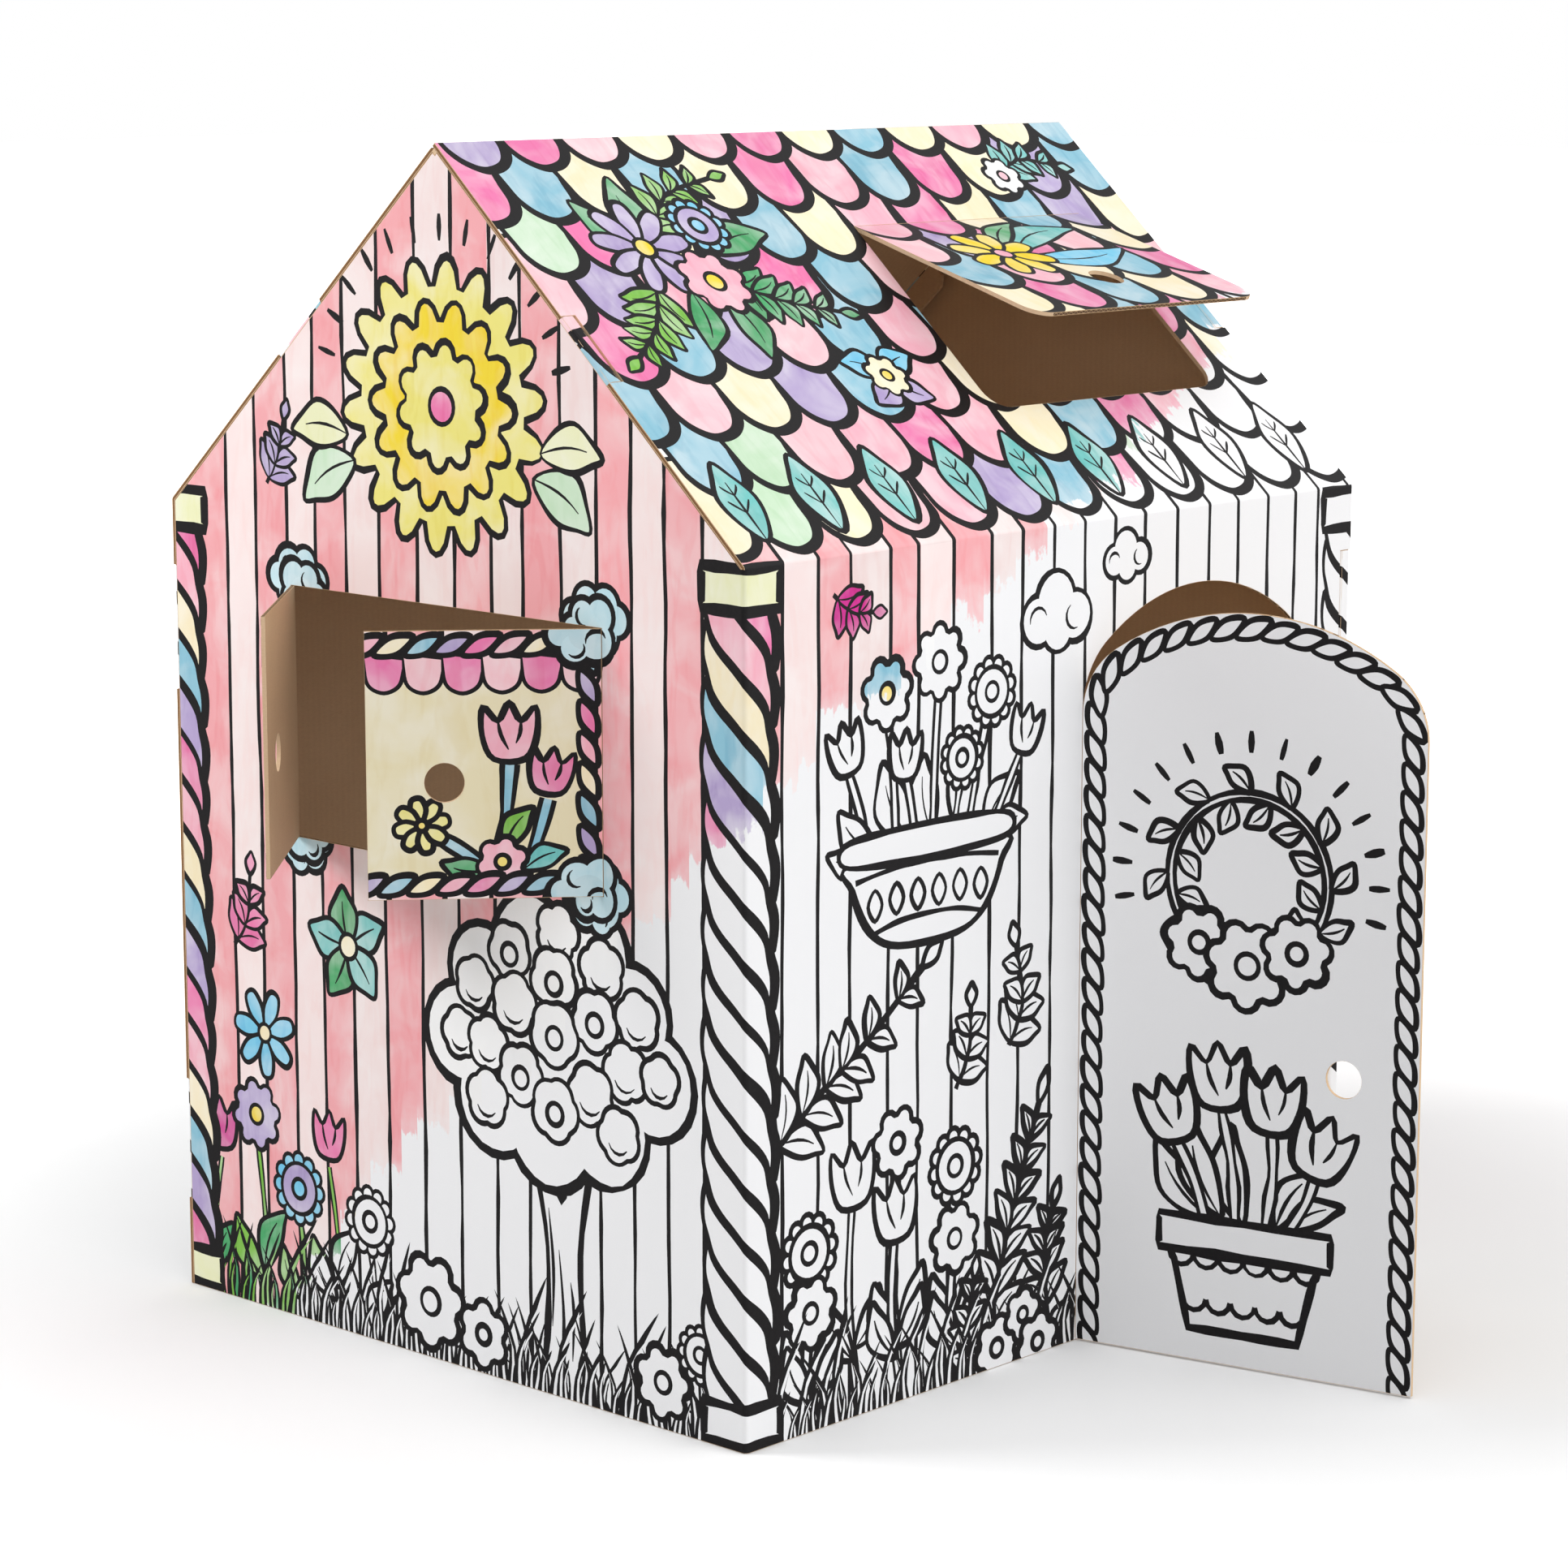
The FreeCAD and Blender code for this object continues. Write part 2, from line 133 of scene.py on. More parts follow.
def papered(shader, colour, wave, wave_height, grain, grain_height, strength, rough, specular):
    """A liner's surface: its colour, and the bumps and roughness of its waves and grain."""
    height = sums("ADD", sums("MULTIPLY", wave, wave_height), sums("MULTIPLY", grain, grain_height))
    bump = out("Bump", {"Height": height, "Distance": 1.0, "Strength": strength})
    feed(shader, {"Base Color": colour, "Normal": bump, "Specular IOR Level": specular,
                  "Roughness": ranged(grain, 0.0, 1.0, *rough)})


def kraft_board():
    """Brown liner with its fibres, and the darker core where the rear and front edges are cut, its dark brown partly
    the core's own colour and partly painted shade.
    """
    material, shader = new_material("kraft_board")
    place = add("TexCoord").outputs["Object"]
    facing = add("SeparateXYZ", {0: add("NewGeometry").outputs["True Normal"]}).outputs
    where = add("SeparateXYZ", {0: place}).outputs
    end_wall = sums("GREATER_THAN", sums("ABSOLUTE", facing[1]), sums("ABSOLUTE", facing[0]))
    wave = ribs(out("Mix", {0: end_wall, 2: where[1], 3: where[0]}))
    cloud, fibre = cloudy(place, 9.0, 3.0), cloudy(place, (260.0, 260.0, 900.0), 4.0)
    # The liner's own tone from its clouds and fibres, with the flutes' ribs painted in as faint stripes of shade
    tone_and_rib_shade = sums("ADD", sums("MULTIPLY", wave, 0.035),
                 sums("ADD", sums("MULTIPLY", cloud, 0.5), sums("MULTIPLY", fibre, 0.55)))
    wide = sums("SUBTRACT", HALF_WIDTH / 1000, sums("ABSOLUTE", where[0]))
    tall = sums("SUBTRACT", EAVE / 1000, where[2])
    below_roof = sums("ADD", sums("MULTIPLY", wide, sin(SLOPE)), sums("MULTIPLY", tall, cos(SLOPE)))
    deep = sums("MINIMUM", wide, below_roof)
    core = sums("MULTIPLY", sums("GREATER_THAN", deep, LINER), sums("LESS_THAN", deep, BOARD - LINER))
    at_end = sums("GREATER_THAN", sums("ABSOLUTE", where[1]), HALF_DEPTH / 1000 - 0.0007)
    # Both tones are lighter than bare kraft: painted light that makes up for the dim inside of the house
    paper = blended(ranged(tone_and_rib_shade, 0.15, 0.95), dye(209, 176, 141), dye(237, 207, 171))
    # The cut core's dark brown is partly the core's own colour and partly painted shade
    cut = blended(fibre, dye(98, 68, 42), dye(158, 118, 78))
    colour = blended(sums("MULTIPLY", core, at_end), paper, cut)
    papered(shader, colour, wave, 0.00003, fibre, 0.00004, 0.9, (0.78, 0.95), 0.25)
    return material


kraft = kraft_board()
for node_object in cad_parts.values():
    for slot in node_object.material_slots:
        slot.material = kraft
    if not node_object.material_slots:
        node_object.data.materials.append(kraft)


# ----------------------------------------------------------------------
# The flat sheets. Each sheet is printed and cut flat: u runs across from the gable (below 0) round the
# corner crease (0) along the side wall, and v runs up the wall and on up the roof slope. Millimetres.
BEND, SHEET_GAP = 5, 0.3  # a crease's outer radius, and the gap where one sheet passes over the other
SLOPE_LENGTH = HALF_WIDTH / cos(SLOPE)
EAVE_START = BEND * tan(pi / 4 - SLOPE / 2)
WALL_TOP = EAVE - EAVE_START
RIDGE_FOLD = SLOPE_LENGTH - (1000 * BOARD + SHEET_GAP) / sin(2 * SLOPE) - BEND * tan(SLOPE)
UP_SLOPE, OUT_SLOPE = Vector((-cos(SLOPE), 0, sin(SLOPE))), Vector((sin(SLOPE), 0, cos(SLOPE)))
INK_FRONT, INK_BACK = 0.17, 0.02  # the printed film's two faces stand this far off the board
HOOK_REACH = 18  # how far a hook's strip runs in over the next board
HOOK_TURN = HOOK_REACH - BEND  # where it starts to dip into its notch


def folded(u, v, lift):
    """Where a point of the flat front sheet comes to when it is folded up, lifted off the board."""
    reach = BEND + lift
    if v <= WALL_TOP or u < -BEND:
        if u <= -BEND:
            return Vector((HALF_WIDTH + u, -HALF_DEPTH - lift, v))
        if u >= BEND:
            return Vector((HALF_WIDTH + lift, u - HALF_DEPTH, v))
        turn = radians(-90 + 90 * (u + BEND) / (2 * BEND))
        return Vector((HALF_WIDTH - BEND + reach * cos(turn), BEND - HALF_DEPTH + reach * sin(turn), v))
    y = u - HALF_DEPTH
    if v < EAVE + EAVE_START:
        turn = (pi / 2 - SLOPE) * (v - WALL_TOP) / (2 * EAVE_START)
        return Vector((HALF_WIDTH - BEND + reach * cos(turn), y, WALL_TOP + reach * sin(turn)))
    return Vector((HALF_WIDTH, y, EAVE)) + UP_SLOPE * (v - EAVE) + OUT_SLOPE * lift


def over_ridge(u, v, lift):
    """The rear sheet's slope, which bends over the ridge at its top."""
    past = v - EAVE - RIDGE_FOLD
    if past <= 0:
        return folded(u, v, lift)
    centre = folded(u, EAVE + RIDGE_FOLD, -BEND)
    return centre + (OUT_SLOPE * cos(past / BEND) + UP_SLOPE * sin(past / BEND)) * (BEND + lift)


def hooked(edge, inward):
    """A hook's strip, which fills its notch in the next board from that board's edge inwards."""
    past = HOOK_REACH + 2  # beyond the notch, where the board is plain
    def fold(u, v, lift):
        along = (u - edge) * inward
        near = folded(edge + past * inward, v, 0)
        outward = folded(edge + past * inward, v, 1) - near
        start = near - Vector((0, past * inward, 0))
        if along < BEND:
            turn, deep, reach = pi / 2 * (1 - along / BEND), -1, BEND
        elif along > HOOK_TURN:
            turn, deep, reach = pi / 2 * (along - HOOK_TURN) / BEND, 1, HOOK_TURN
        else:
            return start + outward * lift + Vector((0, along * inward, 0))
        radius = BEND + lift
        reached = (reach + deep * radius * sin(turn)) * inward
        return start + outward * (radius * cos(turn) - BEND) + Vector((0, reached, 0))
    return fold


def turned_about(fold, point, axis, angle):
    """A flap's own fold: where it would lie closed, then turned about its crease."""
    turn = Matrix.Rotation(radians(angle), 4, axis)
    turn = Matrix.Translation(point) @ turn @ Matrix.Translation(-Vector(point))
    return lambda u, v, lift: turn @ fold(u, v, lift)


def half_turned(fold):
    """The rear sheet is the front one turned half round the house's middle."""
    def rear(u, v, lift):
        point = fold(u, v, lift)
        return Vector((-point.x, -point.y, point.z))
    return rear


# ----------------------------------------------------------------------
# The inks. Black key lines and watercolour fields on white-coated board. The artwork is washed in only
# above a wandering line across the sheet; below it the fields are left white to be coloured in by hand.
SWATCHES = {
    "line": dye(20, 18, 19), "white": dye(250, 250, 250), "salmon": dye(249, 176, 181),
    "pale": dye(250, 230, 228), "lavender": dye(185, 168, 210), "pink": dye(247, 182, 198),
    "hot": dye(237, 126, 176), "blue": dye(146, 198, 217), "cream": dye(253, 240, 206),
    "mint": dye(204, 230, 200), "rose": dye(250, 200, 208), "lime": dye(240, 241, 198),
    "yellow": dye(242, 232, 132), "gold": dye(250, 222, 60), "magenta": dye(212, 52, 148),
    "leaf": dye(134, 196, 84), "fern": dye(82, 172, 112), "cloud": dye(198, 228, 236),
    "sand": dye(242, 231, 194), "teal": dye(120, 200, 196), "sky": dye(128, 206, 236),
}
WASHED_ABOVE = [(-820, -90), (-670, 5), (-560, 115), (-460, 218), (-367, 289), (-230, 390), (-150, 475), (-13, 587),
                (100, 672), (240, 728), (322, 770), (400, 818), (610, 905), (776, 994), (940, 1070)]
LOWEST, TALLEST = -100, 1500  # the wash line's graph starts here and is this tall, millimetres
BRUSH = 0.024  # width of a brush stroke, metres; each one stops a little higher or lower than the last


def new_group(name, kind, inputs, outputs):
    global tree
    tree = bpy.data.node_groups.new(name, kind)
    for way, sockets in (("INPUT", inputs), ("OUTPUT", outputs)):
        for socket, value in sockets.items():
            tree.interface.new_socket(name=socket, in_out=way, socket_type="NodeSocket" + value)
    return add("NodeGroupInput").outputs, add("NodeGroupOutput")


def watercolour_group():
    """Pigment that clouds, pools and grains as it dries, and the coated board's faint tooth."""
    given, result = new_group(
        "watercolour", "ShaderNodeTree", {"Pigment": "Color", "Place": "Vector", "Cloud": "Float", "Pooling": "Float"},
        {"Colour": "Color", "Tooth": "Float"})
    place, pigment = given["Place"], given["Pigment"]
    drift, grain = cloudy(place, 16.0, 3.0, Distortion=0.7), cloudy(place, 95.0, 4.0, Distortion=0.4)
    streak = cloudy(place, (60.0, 14.0, 1.0), 2.0, Distortion=1.2)
    thin = sums("MULTIPLY", ranged(drift, 0.40, 0.68), given["Cloud"])
    paler = blended(thin, pigment, (0.98, 0.97, 0.95, 1.0))
    pooled = sums("MULTIPLY", ranged(streak, 0.48, 0.66), given["Pooling"])
    deeper = blended(pooled, paler, pigment, "MULTIPLY")
    speck = ranged(grain, 0.35, 0.7, 0.05, 0.0)
    feed(result, {"Colour": blended(speck, deeper, pigment), "Tooth": cloudy(place, 900.0, 2.0)})
    return tree


def printed(name, make_colour, rough, tooth_height):
    """A printed finish: its colour over the flat sheet, and the washboard that shows through the liner."""
    material, shader = new_material(name)
    place = out("UVMap", uv_map="flat_sheet")
    colour, tooth = make_colour(place)
    wave = ribs(out("SeparateXYZ", {0: place}))
    papered(shader, colour, wave, 0.000012, tooth, tooth_height, 0.7, (rough - 0.08, rough + 0.08), 0.2)
    return material


def wash_line(share):
    """The height above which the sheet is washed, metres, at a share of the way along it."""
    edge = add("FloatCurve", {"Value": share})
    curve, (start, end) = edge.mapping.curves[0], (WASHED_ABOVE[0][0], WASHED_ABOVE[-1][0])
    graph = [((u - start) / (end - start), (v - LOWEST) / TALLEST) for u, v in WASHED_ABOVE]
    for point in graph[1:-1]:
        curve.points.new(*point)
    curve.points[0].location, curve.points[-1].location = graph[0], graph[-1]
    for point in curve.points:
        point.handle_type = "AUTO_CLAMPED"
    edge.mapping.update()
    return sums("MULTIPLY_ADD", edge.outputs[0], TALLEST / 1000, LOWEST / 1000)


def washed_colour(place):
    """Watercolour down to the wash line, where each brush stroke ends in a fringe, and bare coating below."""
    pigment = add("Attribute", attribute_name="pigment").outputs["Color"]
    wash = add("Group", {"Pigment": pigment, "Place": place, "Cloud": 0.36, "Pooling": 0.24},
               node_tree=watercolour).outputs
    flat = add("SeparateXYZ", {0: place}).outputs
    start, end = WASHED_ABOVE[0][0] / 1000, WASHED_ABOVE[-1][0] / 1000
    stroke = sums("FLOOR", sums("DIVIDE", flat[0], BRUSH))
    middle = sums("MULTIPLY_ADD", stroke, BRUSH, BRUSH / 2)
    share = sums("DIVIDE", sums("SUBTRACT", middle, start), end - start)
    ragged = sums("SUBTRACT", flat[1], wash_line(share))
    for uneven, reach in ((cloudy(place, 11.0, 6.0, Roughness=0.62), 0.10),
                          (add("TexWhiteNoise", {"W": stroke}, noise_dimensions="1D").outputs["Value"], 0.035),
                          (cloudy(place, (135.0, 42.0, 1.0), 3.0), 0.034)):
        ragged = sums("MULTIPLY_ADD", sums("SUBTRACT", uneven, 0.5), reach, ragged)
    covered = sums("MULTIPLY", ranged(ragged, -0.002, 0.003, kind="SMOOTHSTEP"),
                   ranged(ragged, 0.004, 0.026, 0.74, 1.0))
    bare = blended(wash["Tooth"], dye(250, 250, 251), dye(244, 244, 246))
    return blended(covered, bare, wash["Colour"]), wash["Tooth"]


def key_colour(place):
    # The black's lighter mottling is painted sheen; the same noise is the ink's tooth, for its bumps and roughness
    painted_sheen_and_tooth = cloudy(place, 260.0, 3.0)
    return blended(painted_sheen_and_tooth, dye(12, 11, 12), dye(32, 29, 31)), painted_sheen_and_tooth


watercolour = watercolour_group()
wash_ink = printed("watercolour_print", washed_colour, 0.62, 0.00002)
key_ink = printed("key_line_print", key_colour, 0.5, 0.00001)


# ----------------------------------------------------------------------
# Drawing on the flat sheet. The drawing in hand, art, is a list of (ink, corners), later shapes over
# earlier ones. Geometry nodes stamp runs of like shapes, such as scales and strands, along a path.
art = []


def rounded(corners, steps=5, closed=True):
    """A brushed curve through its corners."""
    points, count = [], len(corners)
    for i in range(count if closed else count - 1):
        near = [(i + k) % count if closed else min(max(i + k, 0), count - 1) for k in (-1, 0, 1, 2)]
        a, b, c, d = [Vector(corners[k]) for k in near]
        for t in (step / steps for step in range(steps)):
            points.append(0.5 * (2 * b + (c - a) * t + (2 * a - 5 * b + 4 * c - d) * t * t
                                 + (3 * b - a - 3 * c + d) * t ** 3))
    return points if closed else points + [Vector(corners[-1])]


def area(points):
    return sum(a[0] * b[1] - b[0] * a[1] for a, b in zip(points, points[1:] + points[:1])) / 2


def pressed(point, uneven, grain, layer):
    """How much wider or thinner the pen draws at a point."""
    return 1 + uneven * noise.noise(Vector((point.x * grain, point.y * grain, layer))) * 2


def grown(points, amount, uneven=0.3):
    """An outline moved outwards by a pen's uneven half width, or inwards if the amount is negative."""
    points = [Vector(p) for p in points]
    if area(points) < 0:
        points.reverse()
    moved = []
    for i, point in enumerate(points):
        along = points[(i + 1) % len(points)] - points[i - 1]
        if along.length < 1e-6:
            continue
        side = Vector((along.y, -along.x)).normalized()
        moved.append(point + side * amount * pressed(point, uneven, 0.021, 3.0))
    return moved if area(moved) > 0 else moved[:1] * 3


def stroke(points, width, thin_ends=0.0, ink="line"):
    """A pen stroke along a path, as a chain of four-sided pieces."""
    points, sides = [Vector(p) for p in points], []
    for i, point in enumerate(points):
        along = points[min(i + 1, len(points) - 1)] - points[max(i - 1, 0)]
        side = Vector((along.y, -along.x)).normalized()
        end = min(i, len(points) - 1 - i) / (len(points) / 2)
        half = width / 2 * pressed(point, 0.25, 0.03, 7.0) * (1 - thin_ends * (1 - min(1.0, end * 1.5)))
        sides.append((point + side * max(half, 0.3), point - side * max(half, 0.3)))
    art.extend((ink, [a[0], b[0], b[1], a[1]]) for a, b in zip(sides, sides[1:]))


def outlined(ink, points, line=6.0):
    art.append(("line", grown(points, line / 2)))
    art.append((ink, grown(points, -line / 2)))


def way(angle):
    return Vector((cos(angle), sin(angle)))


def oval(centre, size, sides=20):
    return [Vector(centre) + Vector((size * cos(k * tau / sides), size * sin(k * tau / sides))) for k in range(sides)]


def arc(centre, radius, start, end, steps):
    turns = [radians(start + (end - start) * k / steps) for k in range(steps + 1)]
    return [(centre[0] + radius * cos(turn), centre[1] + radius * sin(turn)) for turn in turns]


def box(left, low, right, high):
    return [(left, low), (right, low), (right, high), (left, high)]


def ruled(corners, steps=6):
    """A straight-sided shape, with points enough along each side to carry a pen's width."""
    corners = [Vector(p) for p in corners]
    return [a.lerp(b, k / steps) for a, b in zip(corners, corners[1:] + corners[:1]) for k in range(steps)]


def set_at(shape, centre, size=1.0, turn=0.0):
    """A small shape, drawn about its own middle, put on the sheet."""
    spin = Matrix.Rotation(turn, 2)
    return [Vector(centre) + spin @ (Vector(p) * size) for p in shape]


def new_mesh(name, corners, edges=(), faces=()):
    mesh = bpy.data.meshes.new(name)
    mesh.from_pydata(corners, edges, faces)
    return mesh


def loose_mesh(name, faces):
    """A mesh of loose faces, each a list of flat or solid corners."""
    numbers, start = [], 0
    for face in faces:
        numbers.append(list(range(start, start + len(face))))
        start += len(face)
    return new_mesh(name, [(*p, 0.0)[:3] for face in faces for p in face], faces=numbers)


def placed(name, data):
    """A new object in the scene, at the origin."""
    made = bpy.data.objects.new(name, data)
    bpy.context.scene.collection.objects.link(made)
    return made


def along_path(given, result, rotation, **more):
    """Copies of the stamp at even spacing along the path, made real and given their finish."""
    path = out("GeometryNodeMeshToCurve", {"Mesh": given["Path"]})
    spots = out("GeometryNodeResampleCurve", {"Curve": path, "Length": given["Spacing"]}, mode="LENGTH")
    stamp = add("GeometryNodeObjectInfo", {"Object": given["Stamp"]}).outputs["Geometry"]
    copies = out("GeometryNodeInstanceOnPoints", {
        "Points": spots, "Instance": stamp, "Rotation": rotation, **more})
    real = out("GeometryNodeRealizeInstances", {0: copies})
    finished = out("GeometryNodeSetMaterial", {0: real, "Material": given["Finish"]})
    feed(result, {0: finished})
    return tree


def stamping_tree():
    """Geometry nodes: copies of a flat stamp at even spacing along a path, each a little off."""
    given, result = new_group("stamps_along_a_path", "GeometryNodeTree", {
        "Path": "Geometry", "Stamp": "Object", "Spacing": "Float", "Size spread": "Float", "Turn spread": "Float",
        "Seed": "Int", "Finish": "Material"}, {"Stamped": "Geometry"})
    def spread(limit, seed_step):
        return add("FunctionNodeRandomValue", {"Seed": sums("ADD", given["Seed"], seed_step),
            2: sums("MULTIPLY", limit, -1.0), 3: limit}, data_type="FLOAT").outputs[1]
    tangent = out("GeometryNodeInputTangent")
    straight = out("FunctionNodeAlignRotationToVector", {"Vector": tangent}, axis="X", pivot_axis="Z")
    lean = out("CombineXYZ", {2: spread(given["Turn spread"], 1)})
    lean = out("FunctionNodeEulerToRotation", {0: lean})
    turned = add("FunctionNodeRotateRotation", {"Rotation": straight, "Rotate By": lean}, rotation_space="LOCAL")
    size = sums("ADD", spread(given["Size spread"], 2), 1.0)
    return along_path(given, result, turned.outputs[0], Scale=size)


def worked_out(path_mesh, group, settings):
    """Runs a tree on a path and returns the plain mesh; nothing of the modifier is left."""
    runner = placed("runner", path_mesh)
    modifier = runner.modifiers.new("work", "NODES")
    modifier.node_group = group
    named = {item.name: item.identifier for item in group.interface.items_tree if item.in_out == "INPUT"}
    for name, value in settings.items():
        modifier[named[name]] = value
    bpy.context.view_layer.update()
    plain = bpy.data.meshes.new_from_object(runner.evaluated_get(bpy.context.evaluated_depsgraph_get()))
    bpy.data.objects.remove(runner)
    return plain


stamps_along = stamping_tree()


def stamped(layers, path, spacing, size_spread=0.0, turn_spread=0.0, seed=1):
    """The stamp's layers at every place along the path: a list of copies, each a list of outlines."""
    stamp_mesh = loose_mesh("stamp", layers)
    path_mesh = new_mesh("path", [(*p, 0.0) for p in path], [(i, i + 1) for i in range(len(path) - 1)])
    plain = worked_out(path_mesh, stamps_along, {
        "Stamp": placed("stamp", stamp_mesh), "Spacing": float(spacing), "Size spread": size_spread,
        "Turn spread": turn_spread, "Seed": seed, "Finish": key_ink})
    outlines = [[plain.vertices[i].co.xy for i in face.vertices] for face in plain.polygons]
    for mesh in (stamp_mesh, path_mesh, plain):
        bpy.data.meshes.remove(mesh)
    return [outlines[i:i + len(layers)] for i in range(0, len(outlines), len(layers))]


def row(layers, path, spacing, size_spread, turn_spread, seed, inks):
    """Stamps a two-layer motif along a path, inked in turn: the key line, then the field."""
    for k, (outer, inner) in enumerate(stamped(layers, path, spacing, size_spread, turn_spread, seed)):
        art.extend((("line", outer), (inks[k % len(inks)], inner)))


# ----------------------------------------------------------------------
# Motifs that the whole print shares: common flowers, leaves, clouds, boards and blades of grass. Each is
# a key line of brushed width round a field of one ink.
CUP = [(-0.52, 0.12), (-0.50, 0.66), (-0.22, 0.40), (0.0, 0.74), (0.22, 0.40), (0.50, 0.66), (0.52, 0.12),
       (0.30, -0.34), (-0.30, -0.34)]


def daisy(at, size, petals, ink, eye="gold", turn=0.0, line=5.5):
    """A scalloped flower head in one outline, with a round eye."""
    rim = []
    for k in range(petals * 7):
        angle = turn + tau * k / (petals * 7)
        lobe = abs(cos(petals * (angle - turn) / 2)) ** 0.55
        rim.append(Vector(at) + way(angle) * size * (0.66 + 0.34 * lobe))
    outlined(ink, rim, line)
    outlined(eye, oval(at, size * 0.27), line * 0.8)


def ray_flower(at, size, petals, ink, eye="gold", turn=0.0, slim=0.17, line=4.5):
    """Separate long petals about an eye."""
    petal = rounded([(0.12, 0.0), (0.5, -slim), (0.9, -slim * 0.8), (1.0, 0.0), (0.9, slim * 0.8), (0.5, slim)], 4)
    for k in range(petals):
        outlined(ink, set_at(petal, at, size, turn + tau * k / petals), line)
    outlined(eye, oval(at, size * 0.2), line)


def beaded_flower(at, size, ink, bead, turn=0.0, line=4.5, beads=12):
    """A disc with a ring of round petals behind it."""
    spots = [Vector(at) + Matrix.Rotation(turn + tau * k / beads, 2) @ Vector((size * 0.76, 0)) for k in range(beads)]
    for colour, edge in (("line", line / 2), (bead, -line / 2)):
        art.extend((colour, oval(spot, size * 0.22 + edge, 14)) for spot in spots)
    outlined(ink, oval(at, size * 0.68, 28), line)
    outlined(bead, oval(at, size * 0.26), line)


def tulip(at, size, ink, turn=0.0, line=5.5):
    outlined(ink, set_at(rounded(CUP, 4), at, size, turn), line)
    for fold in ([(-0.22, 0.40), (-0.16, 0.12), (-0.02, -0.16)], [(0.22, 0.40), (0.2, 0.16), (0.12, -0.04)]):
        stroke(set_at(rounded(fold, 4, False), at, size, turn), line * 0.6, 0.7)


def leaf(base, tip, fat, ink, bow=0.15, line=4.5, rib=True):
    base, along = Vector(base), Vector(tip) - Vector(base)
    side = Vector((-along.y, along.x))
    def on(t, s):
        return base + along * t + side * (s * fat + bow * sin(pi * t))
    edge = ((0, 0), (0.25, 0.75), (0.55, 1.0), (0.82, 0.5), (1, 0), (0.82, -0.5), (0.55, -1.0), (0.25, -0.75))
    outlined(ink, rounded([on(t, s) for t, s in edge], 4), line)
    if rib:
        stroke([on(t / 8, 0) for t in range(0, 7)], line * 0.55, 0.6)


def leaves(table, fat, bow=0.15, line=4.5, up=0):
    """Leaves from a table of base, tip and ink; a leaf without an ink is left white."""
    for base, tip, *ink in table:
        leaf((base[0], base[1] + up), (tip[0], tip[1] + up), fat, ink[0] if ink else "white", bow, line)


def sprig(path, pairs, size, ink, line=4.0, fat=0.22, spread=0.9):
    """A stalk with leaves in pairs, smaller towards its tip."""
    path = rounded(path, 6, False)
    stroke(path, line * 1.3)
    for k in range(pairs):
        at = (k + 0.6) / (pairs + 0.3) * (len(path) - 2)
        here, there = path[int(at)], path[int(at) + 1]
        heading = atan2((there - here).y, (there - here).x)
        reach = size * (1.0 - 0.5 * k / pairs)
        for side in (-1, 1):
            leaf(here, here + way(heading + side * spread) * reach, fat, ink, -0.12 * side, line, rib=size > 34)
    heading = path[-1] - path[-3]
    leaf(path[-1], path[-1] + heading.normalized() * size * 0.55, fat, ink, 0.0, line, rib=False)


def stalks(paths, width, ink, line=4.0):
    for path in paths:
        path = rounded(path, 6, False)
        stroke(path, width + line)
        stroke(path, max(width - line * 0.4, 1.0), ink=ink)


def puffs(spots, ink, line=6.0, curls=True, at=(0, 0), flip=1):
    """Overlapping round puffs in one outline, as a cloud or a tree's crown."""
    spots = [(at[0] + flip * u, at[1] + v, size) for u, v, size in spots]
    for colour, edge in (("line", line / 2), (ink, -line / 2)):
        art.extend((colour, grown(oval((u, v), size, 22), edge)) for u, v, size in spots)
    for k, (u, v, size) in enumerate(spots[::2] if curls else ()):
        stroke(arc((u, v), size * 0.5, 20 + 100 * k, 190 + 100 * k, 7), line * 0.7, 0.8)


def planks(left, right, high, colours, seed, low=-5):
    """Upright boards, with a wavering key line between each two."""
    rule = random.Random(seed)
    lines, u = [], left
    while u < right:
        lines.append(u)
        u += 50 + rule.uniform(-5, 5)
    lines.append(right)
    for k, (a, b) in enumerate(zip(lines, lines[1:])):
        art.append((colours[k % len(colours)], box(a, low, b, high)))
    for u in lines[1:-1]:
        tilt = rule.uniform(-4, 4)
        stroke([(u + tilt * (v - low) / (high - low) + 2.0 * noise.noise(Vector((u * 0.3, v * 0.012, 1.0))), v)
                for v in range(low - 4, int(high) + 30, 28)], 5.0)


def grass(start, end, seed, inks=("white", "white")):
    """Three sizes of blade, stamped along the foot of a wall."""
    for k, (high, lean, spacing) in enumerate(((98, 26, 29), (74, -22, 22), (48, 12, 16))):
        blade = rounded([(-5.4, -12), (-3.2, high * 0.45), (lean, high), (4.6, high * 0.42), (6.2, -12)], 4)
        inner = [(-1.3, -12), (0.0, high * 0.42), (lean * 0.82, high * 0.80), (2.2, high * 0.38), (2.4, -12)]
        row([blade, rounded(inner, 3)], [(start, 0), (end, 0)], spacing, 0.30, 0.20, seed + k, [inks[k % 2]])


# ----------------------------------------------------------------------
# Patterns that run on: scales in rows up the roof, twisted columns at the corners, roped borders round
# the openings and a scalloped valance. Each is one stamp, repeated along a path.
SCALE_COLOURS = ["lavender", "hot", "blue", "cream", "mint", "pink", "rose", "blue", "pink", "cream", "hot", "blue",
                 "cream", "lavender"]
SCALE_PITCH, SCALE_RISE, HALF_SCALE = 79.0, 72.0, 39.5
BAND = [(-42, 52), (-36, 34), (-24, 20), (-8, 8), (8, -4), (24, -18), (36, -34), (41, -52), (46, -68), (46, -86),
        (41, -102), (36, -84), (24, -68), (8, -54), (-8, -42), (-24, -30), (-36, -16), (-42, 2), (-47, 18), (-47, 36)]
BAND_COLOURS, BAND_PITCH = ["hot", "pink", "cream", "blue", "lavender"], 50.5


